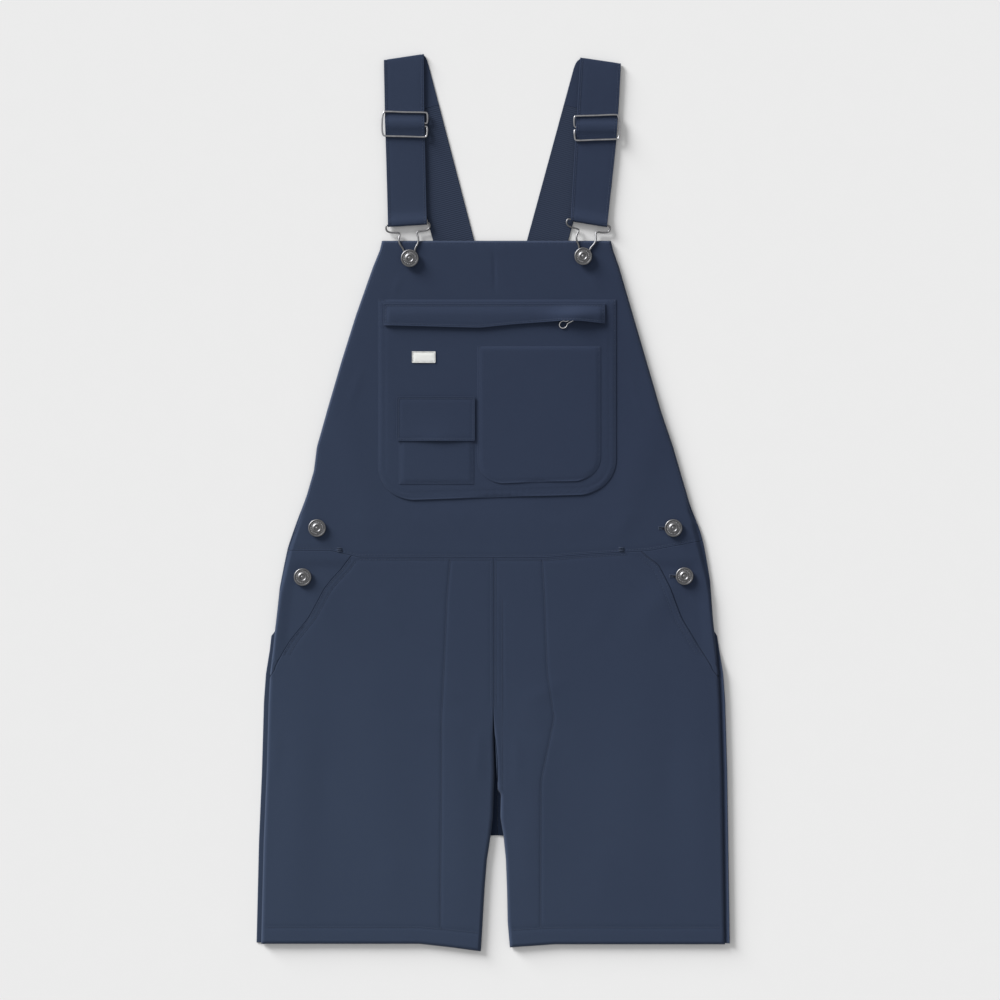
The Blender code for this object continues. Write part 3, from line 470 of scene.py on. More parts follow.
def fold_height(x, y):
    """Height that the broad folds add."""
    total = 0.0
    for middle_x, middle_y, long, wide, high, degrees in FOLDS:
        turn = radians(degrees)
        across = (x - middle_x) * cos(turn) + (y - middle_y) * sin(turn)
        along = -(x - middle_x) * sin(turn) + (y - middle_y) * cos(turn)
        total = total + high * np.exp(-(across / wide) ** 2 - (along / long) ** 2)
    return total


def beside(x, y, start, end):
    """Distance from a straight stretch, and how far along it the nearest point is."""
    run = np.array(end) - np.array(start)
    length = float(np.hypot(*run))
    share = ((x - start[0]) * run[0] + (y - start[1]) * run[1]) / length ** 2
    share = np.clip(share, 0.0, 1.0)
    away = np.hypot(x - start[0] - share * run[0], y - start[1] - share * run[1])
    return away, share * length


def crease_height(x, y):
    """Height that the finer creases add. They fade out towards their ends."""
    total = 0.0
    for start, end, wide, high in CREASES:
        away, along = beside(x, y, start, end)
        length = float(np.hypot(end[0] - start[0], end[1] - start[1]))
        fade = smooth(along / (0.35 * length)) * smooth((length - along) / (0.35 * length))
        total = total + high * fade * np.exp(-(away / wide) ** 2)
    return total


def from_sides(x, y):
    """Distance in from the nearer side edge of the front."""
    return np.minimum(x - read(FRONT_SIDES, "y", "left", y), read(FRONT_SIDES, "y", "right", y) - x)


def front_lift(x, y):
    """Height of the front's underside, low at every free edge and fuller between them."""
    from_end = np.minimum(BIB_TOP - y, y - HEM - read(HEM_LINE, "x", "y", x))
    opening = smooth((FRONT_CROTCH - y) / 60.0)
    inside = np.where(x < CENTRE + 4.0 * opening, read(INSIDE_LEGS, "y", "left", y),
                      read(INSIDE_LEGS, "y", "right", y))
    rise = smooth(from_end / ROUNDING) * (1.0 - opening * (1.0 - smooth(np.abs(x - inside) / ROUNDING)))
    middle = REST + (FULL - REST + fold_height(x, y)) * rise
    side = REST * smooth((BACK_SIDE_TOP + 24.0 - y) / 24.0)
    return side + (middle - side) * smooth(from_sides(x, y) / ROUNDING)


def creased_lift(x, y):
    """The front's underside with its finer creases, which die away at the edges."""
    return front_lift(x, y) + crease_height(x, y) * smooth(from_sides(x, y) / 10.0)


def facing_lift(x, y):
    """Underside of the pocket facings, a step below the front legs along the pocket mouths."""
    step = 0.8 * smooth((from_sides(x, y) - 2.0) / 14.0) * smooth((WAIST - y) / 12.0)
    return front_lift(x, y) - step


def on_front(offset):
    """A height function for what lies on the front, at an even distance above its cloth."""
    return lambda x, y: creased_lift(x, y) + CLOTH + GAP + offset


print("heights: middle of the bib", round(float(creased_lift(np.array(0.0), np.array(120.0))), 2), "mm")

# %% [markdown]
# ## Laying out a grid
#
# A shell of cloth is a grid of points. The grid is fine where something happens, which is at edges and
# along sewn lines, and even between them. `stations` gives such places along a line, and `panel_grid`
# runs them from the left guide to the right guide of a panel, at every level.

# %% Grids
EDGE_STEPS = (0.0, 0.10, 0.30, 0.60, 1.10, 2.0)
LINE_STEPS = (0.0, 0.7, 1.6)
KEPT_END = 3.0             # stretch at either end of a row whose points never move apart


def stations(start, end, step, first=EDGE_STEPS, last=EDGE_STEPS):
    """Places from start to end as distances from start: close at both ends, even between them."""
    length = abs(end - start)
    near = list(first)
    far = [length - inset for inset in reversed(last)]
    count = max(int(round((far[0] - near[-1]) / step)), 1)
    return np.array(near + list(np.linspace(near[-1], far[0], count + 1)[1:-1]) + far)


def fitted(places, length):
    """Stretch the even middle of a set of places to another length, and keep both close ends."""
    whole = float(places.max())
    short = places * length / whole
    middle = KEPT_END + (places - KEPT_END) * (length - 2 * KEPT_END) / (whole - 2 * KEPT_END)
    far = places + length - whole
    long = np.where(places < KEPT_END, places, np.where(places > whole - KEPT_END, far, middle))
    return np.where(length < 2.5 * KEPT_END, short, long)


def waist_shift(x, y):
    """How far a point near the waist seam moves to follow the seam's line."""
    return read(WAIST_SEAM, "x", "y", x) * (1.0 - smooth(np.abs(y - WAIST) / 70.0))


def hem_shift(x, y):
    """How far a point near the hem moves to follow the hem's line."""
    return read(HEM_LINE, "x", "y", x) * (1.0 - smooth((y - HEM) / 60.0))


def panel_grid(levels, guides, step, edge=EDGE_STEPS):
    """Points of a panel between guides, each a function of the level, from left to right."""
    middle = levels[len(levels) // 2]
    columns = []
    for number, (left, right) in enumerate(zip(guides, guides[1:])):
        first = edge if number == 0 else LINE_STEPS
        last = edge if number == len(guides) - 2 else LINE_STEPS
        widest = max(float(right(level)) - float(left(level)) for level in (levels[0], middle, levels[-1]))
        places = stations(0.0, widest, step, first, last)
        start = left(levels)[:, None]
        width = (right(levels) - left(levels))[:, None]
        stretch = start + fitted(places[None, :], width)
        columns.append(stretch if number == 0 else stretch[:, 1:])
    x = np.concatenate(columns, axis=1)
    y = np.repeat(levels[:, None], x.shape[1], axis=1)
    return x, y + waist_shift(x, y) + hem_shift(x, y)


def column_of(table, column, offset=0.0):
    """A guide that follows one column of a table."""
    return lambda level: read(table, "y", column, level) + offset


print("grids: edges at", EDGE_STEPS, "mm")

# %% [markdown]
# ## From a grid to a thin shell
#
# A woven panel is a wall of one even thickness. Its cut edge is turned under, so it ends in a small
# roll instead of a sharp corner. `cloth_shell` puts one skin above the middle of the cloth and one
# below it, brings them together round the rim, and welds them there, so the mesh is closed. `dip`
# lowers only the upper skin, which is how thread pulls a line into cloth. A patch that is sewn down is
# also pressed thinner along its rim. The piece's UV map is in metres, for the weave.

# %% Shells of cloth
PRESS_WIDTH = 3.0
PRESS_THIN = 0.4


def border_distance(x, y):
    """Distance of every grid point from the rim, measured along its row and its column."""
    rows = np.hypot(np.diff(x, axis=1), np.diff(y, axis=1))
    columns = np.hypot(np.diff(x, axis=0), np.diff(y, axis=0))
    from_left = np.pad(rows.cumsum(axis=1), ((0, 0), (1, 0)))
    from_top = np.pad(columns.cumsum(axis=0), ((1, 0), (0, 0)))
    from_right = from_left[:, -1:] - from_left
    from_foot = from_top[-1:, :] - from_top
    return np.minimum.reduce([from_left, from_right, from_top, from_foot])


def mesh_piece(name, points, faces, look):
    """A smooth piece of the garment, made of points in millimetres and faces."""
    mesh = bpy.data.meshes.new(name)
    mesh.from_pydata((points * MM).tolist(), [], faces)
    mesh.shade_smooth()
    mesh.materials.append(look)
    piece = bpy.data.objects.new(name, mesh)
    bpy.context.scene.collection.objects.link(piece)
    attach(piece, "garment")
    return piece


def select_only(piece):
    """Make one piece the selected and active one."""
    bpy.ops.object.select_all(action="DESELECT")
    piece.select_set(True)
    bpy.context.view_layer.objects.active = piece


def cloth_shell(name, middle, up, wall, look, dip, uv, pressed=0.0):
    """Close a wall of cloth round a grid of points on its middle, in millimetres."""
    rows, columns = middle.shape[:2]
    edge = border_distance(*uv)
    roll = np.clip(edge / (wall / 2), 0.0, 1.0)
    near_rim = pressed * (1.0 - smooth(edge / PRESS_WIDTH))
    half = wall / 2 * np.sqrt(1.0 - (1.0 - roll) ** 2) * (1.0 - PRESS_THIN * near_rim)
    middle = middle - up * ((0.8 * GAP + wall / 2 * PRESS_THIN) * near_rim)[..., None]
    top = middle + up * (half - dip * (roll >= 1.0))[..., None]
    foot = middle - up * half[..., None]
    top_index = np.arange(rows * columns).reshape(rows, columns)
    foot_index = top_index.copy()
    foot_index[1:-1, 1:-1] = rows * columns + np.arange((rows - 2) * (columns - 2)).reshape(rows - 2, -1)
    points = np.concatenate([top.reshape(-1, 3), foot[1:-1, 1:-1].reshape(-1, 3)])
    quads = []
    for index, order in ((top_index, (0, 1, 2, 3)), (foot_index, (3, 2, 1, 0))):
        corners = (index[:-1, :-1], index[1:, :-1], index[1:, 1:], index[:-1, 1:])
        quads.append(np.stack([corners[corner] for corner in order], axis=-1).reshape(-1, 4))
    quads = np.concatenate(quads)
    piece = mesh_piece(name, points, quads.tolist(), look)
    places = np.stack(uv, axis=-1) * MM
    flat = np.concatenate([places.reshape(-1, 2), places[1:-1, 1:-1].reshape(-1, 2)])
    layer = piece.data.uv_layers.new(name="cloth")
    layer.data.foreach_set("uv", flat[quads.reshape(-1)].astype(np.float32).reshape(-1))
    return piece


def declare_flat(x, y):
    sides = 0.5 * np.abs((x[1:, 1:] - x[:-1, :-1]) * (y[:-1, 1:] - y[1:, :-1])
                         - (x[:-1, 1:] - x[1:, :-1]) * (y[1:, 1:] - y[:-1, :-1]))


print("shell maker ready")

# %% [markdown]
# ## Sewn lines
#
# A row of topstitching pulls the cloth into a shallow, slightly puckered line. Here a sewn line is a
# path in the plane of the cloth. `sewn_dip` works out how far all the lines of a piece lower its upper
# skin, and the same paths later carry the stitches, so thread and groove always meet.

# %% Sewn lines
SEW_WIDTH = 1.1
SEW_DEPTH = 0.30
PRESSED_DEPTH = 0.45       # how much lower the thread lies on a patch with a pressed rim
PUCKER = 7.3


def along_levels(start, end, place, step=4.0):
    """A path that runs down the cloth, with its x read from a function of the level."""
    levels = np.linspace(start, end, max(int(abs(end - start) / step), 1) + 1)
    x = place(levels)
    return np.stack([x, levels + waist_shift(x, levels) + hem_shift(x, levels)], axis=-1)


def across_cloth(level, start, end, step=6.0):
    """A path that runs across the cloth at one level, and follows the waist seam or the hem."""
    x = np.linspace(start, end, max(int(abs(end - start) / step), 1) + 1)
    y = np.full_like(x, level)
    return np.stack([x, y + waist_shift(x, y) + hem_shift(x, y)], axis=-1)


def puckered(place):
    """How deep a sewn groove is along its line, about 1: the thread draws the cloth in unevenly."""
    return 1.0 + 0.30 * np.sin(place * 2 * pi / PUCKER + np.sin(place / 11.0))


def sewn_dip(x, y, lines):
    """How far the sewn lines lower the upper skin at each point, with a little puckering."""
    dip = np.zeros_like(x)
    for line in lines:
        nearest = np.full_like(x, 1e6)
        place = np.zeros_like(x)
        travelled = 0.0
        for start, end in zip(line, line[1:]):
            away, along = beside(x, y, start, end)
            closer = away < nearest
            nearest = np.where(closer, away, nearest)
            place = np.where(closer, travelled + along, place)
            travelled += float(np.hypot(*(end - start)))
        pucker = puckered(place)
        groove = SEW_DEPTH * np.exp(-(nearest / SEW_WIDTH) ** 2)
        ripple = 0.10 * np.exp(-(nearest / 4.0) ** 2)
        dip = np.maximum(dip, groove * pucker + ripple * (pucker - 0.7))
    return dip


SEWN = {}       # the lines of each piece, as (path, height function of the upper skin)
print("sewn lines", SEW_DEPTH, "mm deep")

# %% [markdown]
# ## The bib and the front legs
#
# On the real garment the bib is one piece down to the waist seam, faced at its top and sides, and the
# two front legs meet in a centre seam. Two stitched lines run down the fronts of the legs. Each panel is
# a grid from edge to edge, with a guide column on the stitched line, so that the groove has points of
# its own and stays crisp without a finer grid everywhere.

# %% Front panels
PANEL_STEP = 2.3
EDGE_SEAM = 2.6
BIB_SEAM = (270.0, -52.0)  # levels between which the bib's sides are sewn
MOUTH_SEAMS = (2.2, 7.6)
HEM_SEAM = 18.0
SEAM_SIDE = 2.5
FOLD_LINE = 9.6            # a pressed line beside the right leg's inner edge

left_side, right_side = column_of(FRONT_SIDES, "left"), column_of(FRONT_SIDES, "right")
leg_line = {side: column_of(LEG_LINES, side) for side in ("left", "right")}


def leg_outside(side):
    """Outer edge of a front leg: the pocket's mouth, and the side seam below it."""
    def edge(level):
        foot = POCKET_MOUTHS["y"][-1]
        last = POCKET_MOUTHS[side][-1]
        below = last + smooth((foot - level) / 14.0) * (read(FRONT_SIDES, "y", side, level) - last)
        return np.where(level >= foot, read(POCKET_MOUTHS, "y", side, level), below)
    return edge


def leg_inside(side, offset):
    """Inner edge of a front leg: the centre seam, and the inside leg below the crotch."""
    def edge(level):
        return np.where(level >= FRONT_CROTCH, CENTRE + offset, read(INSIDE_LEGS, "y", side, level))
    return edge


def sew_panel(name, x, y, lift, wall, lines, look=CLOTH_LOOK, pressed=0.0):
    """Lay a panel in place of its plain solid, groove its sewn lines and keep them for the stitches."""
    middle = np.stack([x, y, lift(x, y) + wall / 2], axis=-1)
    piece = cloth_shell(name + "_cloth", middle, np.array((0.0, 0.0, 1.0)), wall, look,
                        sewn_dip(x, y, lines), (x, y), pressed)
    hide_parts(name)
    declare_flat(x, y)
    thread_depth = SEW_DEPTH + PRESSED_DEPTH * pressed
    SEWN[name] = [(line, lambda px, py: lift(px, py) + wall - thread_depth) for line in lines]


bib_levels = BIB_TOP - stations(BIB_TOP, WAIST + SEAM_GAP / 2, PANEL_STEP)
x, y = panel_grid(bib_levels, (left_side, right_side), PANEL_STEP)
bib_lines = [across_cloth(BIB_TOP - EDGE_SEAM, -112.0, 120.0),
             along_levels(*BIB_SEAM, column_of(FRONT_SIDES, "left", EDGE_SEAM)),
             along_levels(*BIB_SEAM, column_of(FRONT_SIDES, "right", -EDGE_SEAM)),
             across_cloth(WAIST + SEAM_SIDE, -206.0, 210.0)]
sew_panel("front_bib", x, y, creased_lift, CLOTH, bib_lines)

leg_levels = WAIST - SEAM_GAP / 2 - stations(WAIST - SEAM_GAP / 2, HEM, PANEL_STEP)
for side, turn in (("left", 1.0), ("right", -1.0)):
    outside, inside = leg_outside(side), leg_inside(side, -turn * GAP / 2)
    guides = (outside, leg_line[side], inside) if side == "left" else (inside, leg_line[side], outside)
    x, y = panel_grid(leg_levels, guides, PANEL_STEP)
    centre_row = CENTRE - turn * SEAM_SIDE
    lines = [along_levels(WAIST - 3.0, -225.0, leg_line[side]),
             along_levels(-225.0, HEM + HEM_SEAM, leg_line[side]),
             along_levels(WAIST - 3.0, FRONT_CROTCH + 6.0, lambda level: np.full_like(level, centre_row)),
             across_cloth(WAIST - SEAM_SIDE, *sorted((turn * -140.0, turn * -4.0))),
             across_cloth(HEM + HEM_SEAM, *sorted((turn * -238.0, turn * -16.0)))]
    for seam in MOUTH_SEAMS:
        lines.append(along_levels(WAIST - 5.0, -160.0, lambda level: outside(level) + turn * seam))
    if side == "right":
        lines.append(along_levels(-102.0, -302.0, lambda level: np.full_like(level, FOLD_LINE)))
    sew_panel("front_leg_" + side, x, y, creased_lift, CLOTH, lines)

# %% [markdown]
# ## Pocket facings and the back
#
# Inside each scooped pocket mouth lies a facing, a step lower than the leg. The back yoke and the back legs
# lie flat on the floor. They show only as a narrow strip past the side openings and between the legs.
# Between the legs their colour is darkened with painted shade.

# %% Facings and back panels
BACK_STEP = 5.0
CURL = 3.3


def beside_leg(side, gap):
    """Inner edge of a facing, along the outer edge of its leg."""
    edge = leg_outside(side)
    return lambda level: edge(level) + gap


facing_levels = WAIST - SEAM_GAP / 2 - stations(WAIST - SEAM_GAP / 2, FACING_FOOT, PANEL_STEP)
for side, guides in (("left", (left_side, beside_leg("left", -GAP))),
                     ("right", (beside_leg("right", GAP), right_side))):
    x, y = panel_grid(facing_levels, guides, PANEL_STEP)
    sew_panel("pocket_facing_" + side, x, y, facing_lift, CLOTH, [])


def on_floor(x, y):
    """Underside of the back, which lies flat, and curls up a little along its lower right edge."""
    past_front = smooth((x - read(FRONT_SIDES, "y", "right", y) - 0.8) / 3.4)
    return CURL * past_front * smooth((-140.0 - y) / 40.0)


def back_inside(side, seam, inset):
    """Inner edge of a back leg: the back seam, and the inside leg below the back crotch."""
    def edge(level):
        return np.where(level > BACK_CROTCH, seam, read(INSIDE_LEGS, "y", side, level) + inset)
    return edge


yoke_levels = YOKE_TOP - stations(YOKE_TOP, WAIST + SEAM_GAP / 2, BACK_STEP)
x, y = panel_grid(yoke_levels, (column_of(BACK_SIDES, "left"), column_of(BACK_SIDES, "right")), BACK_STEP)
sew_panel("back_yoke", x, y, on_floor, CLOTH, [], BACK_PAINTED_SHADE_LOOK)

back_levels = WAIST - SEAM_GAP / 2 - stations(WAIST - SEAM_GAP / 2, HEM + HEM_STEP, BACK_STEP)
nearest = int(np.argmin(np.abs(back_levels - BACK_CROTCH)))
back_levels[nearest - 1:nearest + 1] = (BACK_CROTCH + 0.4, BACK_CROTCH)
for side, guides in (
        ("left", (column_of(BACK_SIDES, "left"), back_inside("left", BACK_SEAM - SEAM_GAP / 2, -0.8))),
        ("right", (back_inside("right", BACK_SEAM + SEAM_GAP / 2, 0.8), column_of(BACK_SIDES, "right")))):
    x, y = panel_grid(back_levels, guides, BACK_STEP)
    sew_panel("back_leg_" + side, x, y, on_floor, CLOTH, [], BACK_PAINTED_SHADE_LOOK)

# %% [markdown]
# ## Pockets, flaps and the label on the bib
#
# A patch pocket is a flat piece with its edges turned under and sewn down on three sides. Its rows run
# from the mouth to the lower edge, and each row is shortened by an arc where the lower corners are
# round. The long flap is sewn down along its top and lifts towards its free edge and over the zip's
# slider. The small flap bows up in the middle, because its lower edge is not fastened. What lies on the
# big pocket is worn and ironed flat, so it is thinner and closer than its plain solid.

# %% Patches on the bib
POCKET_TILT = 0.03
PATCH_STEP = 2.2
PATCHES = {
    "bib_pocket": {"top": 212.6, "bottom": 5.2, "left": -120.5, "right": 129.2, "corner": 37.0},
    "inner_pocket": {"top": 163.5, "bottom": 21.0, "left": -16.3, "right": 113.0, "corner": 26.0},
    "small_pocket": {"top": 107.0, "bottom": 19.0, "left": -98.5, "right": -20.0, "corner": 1.0},
    "small_pocket_flap": {"top": 110.8, "bottom": 64.5, "left": -100.8, "right": -18.9, "corner": 1.0},
    "bib_flap": {"top": 208.4, "bottom": 186.0, "left": -114.5, "right": 117.6, "corner": 1.0},
    "zip_tape": {"top": 200.5, "bottom": 191.6, "left": -108.0, "right": 112.0, "corner": 0.5},
    "label": {"top": 158.3, "bottom": 146.3, "left": -84.8, "right": -60.3, "corner": 0.5},
}
FLAP_EDGE = {
    "x": (-120.0, -106.0, -14.0, 21.0, 72.0, 90.0, 120.0),
    "y": (-0.7, -0.7, -3.3, 0.4, 4.1, 4.1, 0.9),
}
FLAP_RISE = 1.4
SLIDER_RISE = 4.0
SMALL_RISE = 1.3
THIN_PATCH = 0.75          # wall of what lies on the big pocket
SNUG = 0.2                 # how much closer to it that lies than the layers below
SLIDER_PLACE = (89.5, 194.6)


def patch_grid(size, step, tilt=0.0, lower_edge=None):
    """Points of a patch with round lower corners, whose lower edge may slope or wave."""
    levels = size["top"] - stations(size["top"], size["bottom"], step)
    corner = size["corner"]
    down = np.maximum(size["bottom"] + corner - levels, 0.0)
    round_in = corner - np.sqrt(np.maximum(corner ** 2 - down ** 2, 0.0))
    start, end = size["left"] + round_in, size["right"] - round_in
    places = stations(size["left"], size["right"], step)
    x = start[:, None] + fitted(places[None, :], (end - start)[:, None])
    y = np.repeat(levels[:, None], x.shape[1], axis=1)
    return x, y + patch_shift(size, x, y, tilt, lower_edge)


def patch_shift(size, x, y, tilt, lower_edge):
    """How far a point of a patch moves for a sloping or waving lower edge."""
    shift = tilt * (x - (size["left"] + size["right"]) / 2)
    if lower_edge:
        shift = shift + read(lower_edge, "x", "y", x)
    return smooth((size["top"] - y) / (size["top"] - size["bottom"])) * shift


def patch_seam(size, inset, tilt=0.0, lower_edge=None, top_inset=0.0, closed=False):
    """The sewn line inside a patch's edge: down one side, round the corners and up the other."""
    corner = max(size["corner"] - inset, 0.1)
    left, right = size["left"] + inset, size["right"] - inset
    foot, head = size["bottom"] + inset, size["top"] - top_inset
    arc = np.linspace(0.15, pi / 2, 9)
    points = [(left, y) for y in np.linspace(head, foot + corner, 16)]
    points += [(left + corner * (1 - cos(turn)), foot + corner * (1 - sin(turn))) for turn in arc]
    points += [(x, foot) for x in np.linspace(left + corner, right - corner, 16)[1:]]
    points += [(right - corner * (1 - sin(turn)), foot + corner * (1 - cos(turn))) for turn in arc]
    points += [(right, y) for y in np.linspace(foot + corner, head, 16)[1:]]
    if closed:
        points.append(points[0])
    points = np.array(points)
    points[:, 1] += patch_shift(size, points[:, 0], points[:, 1], tilt, lower_edge)
    return points


def flap_share(size, y):
    """How far down a flap a point is, from 0 at its seam to 1 at its free edge."""
    return np.clip((size["top"] - y) / (size["top"] - size["bottom"]), 0.0, 1.0)


def flap_lift(x, y):
    """Underside of the long flap: sewn down at its top and ends, lifted at its edge and over the slider."""
    down = flap_share(PATCHES["bib_flap"], y)
    ends = 0.15 + 0.85 * smooth((116.0 - np.abs(x - 1.5)) / 6.0)
    over_slider = np.exp(-((x - SLIDER_PLACE[0] + 3.0) / 22.0) ** 2)
    rise = FLAP_RISE * ends * smooth(down / 0.55) + SLIDER_RISE * over_slider * smooth(down / 0.6)
    return on_front(LAYER)(x, y) + rise


def small_flap_lift(x, y):
    """Underside of the small flap: bowed up in the middle of its free edge."""
    down = flap_share(PATCHES["small_pocket_flap"], y)
    bow = SMALL_RISE * np.exp(-((x + 55.0) / 22.0) ** 2) * down ** 3
    return on_front(LAYER + THIN_PATCH - SNUG / 2)(x, y) + bow


def sew_patch(name, lift, wall, insets, tilt=0.0, lower_edge=None, closed=False,
              look=CLOTH_LOOK, step=PATCH_STEP, pressed=0.0):
    """Lay a patch with a sewn line at each inset from its edge."""
    size = PATCHES[name]
    x, y = patch_grid(size, step, tilt, lower_edge)
    lines = [patch_seam(size, inset, tilt, lower_edge, inset if closed else 0.0, closed)
             for inset in insets]
    sew_panel(name, x, y, lift, wall, lines, look, pressed)


sew_patch("bib_pocket", on_front(0.0), PATCH, (1.9, 6.6), POCKET_TILT,
          pressed=1.0)
sew_patch("inner_pocket", on_front(LAYER - SNUG), THIN_PATCH, (2.0,), POCKET_TILT, pressed=1.0)
sew_patch("small_pocket", on_front(LAYER - SNUG), THIN_PATCH, (2.0,), pressed=1.0)
sew_patch("small_pocket_flap", small_flap_lift, THIN_PATCH, (2.0,), closed=True)
sew_patch("bib_flap", flap_lift, PATCH, (2.2,), 0.0, FLAP_EDGE, closed=True)
sew_patch("zip_tape", on_front(LAYER), TAPE, (), look=TAPE_LOOK)
sew_patch("label", on_front(LAYER), TAG, (0.9,), closed=True, look=LABEL_LOOK, step=1.6)

# %% [markdown]
# ## The straps
#
# Each front strap is one length of double cloth. It starts under its slider, goes down to the hook and
# round the hook's bar, comes back up over the slider and turns over the shoulder, where a ribbed elastic
# is sewn on. The path is the plain solid's own list of levels and heights, its corners rounded, and the
# strap is then swept along it. The rows run from the elastic to the slider, so that the upper skin of
# the layer that shows is the one with the sewn lines.

# %% Strap sizes
FRONT_STRAPS = {
    "left": {
        "y": (466.7, 403.7, 338.6, 293.0),
        "outer": (-114.5, -113.4, -111.3, -110.2),
        "inner": (-72.5, -71.8, -70.4, -69.3),
        "middle": (-93.5, -92.6, -90.9, -89.8),
    },
    "right": {
        "y": (463.0, 422.0, 376.0, 293.0),
        "outer": (134.2, 132.3, 129.2, 119.6),
        "inner": (91.6, 89.0, 86.1, 81.6),
        "middle": (112.9, 110.7, 107.7, 100.6),
    },
}
BACK_STRAPS = {
    "left": {"top": (-92.0, 469.5), "foot": (-16.9, 181.3)},
    "right": {"top": (109.0, 465.0), "foot": (31.9, 181.3)},
}
STRAP_WIDTH = 42.0
ELASTIC_TOP = 411.5
GLIDE_LEVEL = {"left": 396.5, "right": 393.0}
GLIDE_WIDTH = 46.5
GLIDE_HEIGHT = 26.0
BIB_BUTTONS = {"left": (-87.2, 255.7), "right": (94.5, 257.8)}
HOOK_TURN = {"left": 3.5, "right": -9.5}
HOOK_HALF = (              # one half of the hook's outline, out from its middle and up from the button
    (9.0, 36.6), (20.4, 36.6), (22.6, 35.8), (23.2, 33.4), (22.4, 30.4),
    (19.5, 28.7), (15.0, 28.1), (9.8, 27.9), (8.8, 25.6), (10.6, 20.6),
    (9.6, 15.2), (6.0, 10.0), (5.4, 5.0), (5.6, 0.0), (4.2, -4.6),
)
HOOK_REACH = HOOK_HALF[0][1]
BAR_HEIGHT = REST + STRAP + GAP + WIRE / 2


def round_corners(points, closed, passes):
    """Cut the corners of a path again and again, which turns it into a smooth bend."""
    points = np.array(points, dtype=float)
    for _ in range(passes):
        after = np.roll(points, -1, axis=0) if closed else points[1:]
        before = points if closed else points[:-1]
        cut = np.stack([before * 0.75 + after * 0.25, before * 0.25 + after * 0.75], axis=1)
        cut = cut.reshape(-1, points.shape[1])
        points = cut if closed else np.concatenate([points[:1], cut, points[-1:]])
    return points


def distances(points):
    """Length travelled along a path at each of its points."""
    steps = np.linalg.norm(np.diff(points[:, :3], axis=0), axis=1)
    return np.concatenate([[0.0], steps.cumsum()])


print("straps: hook bar at", round(BAR_HEIGHT, 2), "mm")

# %% The way a strap runs
def hook_bar(side):
    """Middle of the hook's bar, which the strap's end folds round."""
    x, y = BIB_BUTTONS[side]
    turn = radians(HOOK_TURN[side])
    return x - HOOK_REACH * sin(turn), y + HOOK_REACH * cos(turn)


def strap_point(side, edge, level):
    """Edge point of a front strap, level along most of it and square to the hook at its end."""
    bar_x, bar_y = hook_bar(side)
    x = float(read(FRONT_STRAPS[side], "y", edge, level))
    near_end = 1.0 - smooth((level - bar_y - 10.0) / 60.0)
    near_top = smooth((level - 420.0) / 45.0)
    top_slope = 0.15 if side == "left" else -0.15
    slope = near_end * tan(radians(HOOK_TURN[side])) + near_top * top_slope
    middle = bar_x + (1.0 - near_end) * (float(read(FRONT_STRAPS[side], "y", "middle", level)) - bar_x)
    return x, level + float(slope) * (x - float(middle))


def strap_heights(side):
    """Middle height of the strap along its path, as (level, height) steps of each layer."""
    glide = GLIDE_LEVEL[side]
    low = REST + STRAP / 2
    upper = low + STRAP + GAP
    over_bar = BAR_HEIGHT + WIRE / 2 + GAP + STRAP / 2
    bar = hook_bar(side)[1]
    under = ((glide + 6.0, low), (glide - 20.0, low), (bar + 20.0, low), (bar + 4.0, low))
    radius = (over_bar - low) / 2
    turn = [(bar - radius * sin(pi * step / 6), low + radius * (1.0 - cos(pi * step / 6)))
            for step in range(7)]
    over = ((bar + 3.0, over_bar), (bar + 8.0, upper + 1.0), (bar + 14.0, upper + 0.1), (bar + 40.0, upper),
            (glide - 26.0, upper), (glide - GLIDE_HEIGHT / 2, upper), (glide - 7.0, upper + 1.0),
            (glide - 2.5, over_bar), (glide + 2.5, over_bar), (glide + 7.0, upper + 1.0),
            (glide + GLIDE_HEIGHT / 2, upper), (glide + 26.0, upper), (glide + 50.0, upper + 0.1))
    return under + tuple(turn) + over


def back_edge(side, edge, level):
    """Edge point of a back strap at a level along its middle line, square to the strap."""
    strap = BACK_STRAPS[side]
    top, foot = Vector(strap["top"]), Vector(strap["foot"])
    run = (foot - top).normalized()
    middle = top + run * ((level - top.y) / run.y)
    square = Vector((-run.y, run.x)) * (STRAP_WIDTH / 2)
    return tuple(middle + square if edge == "right" else middle - square)


def strap_sections(side):
    """Left and right points of a front strap from its slider to the elastic, six numbers a row."""
    west, east = ("inner", "outer") if side == "right" else ("outer", "inner")
    rows = [(*strap_point(side, west, level), height, *strap_point(side, east, level), height)
            for level, height in strap_heights(side)]
    top = FRONT_STRAPS[side]["y"][0] - 1.0
    upper, lower = REST + STRAP / 2 + STRAP + GAP, STRAP / 2
    radius = (upper - lower) / 2
    left, right = strap_point(side, west, top), strap_point(side, east, top)
    for step in range(1, 6):
        angle = pi * step / 6
        ahead, height = radius * sin(angle), lower + radius + radius * cos(angle)
        rows.append((left[0], left[1] + ahead, height, right[0], right[1] + ahead, height))
    for level in (top - 6.0, 440.0, ELASTIC_TOP + GAP):
        rows.append((*back_edge(side, "left", level), lower, *back_edge(side, "right", level), lower))
    return rows


print("strap path:", len(strap_sections("left")), "sections")

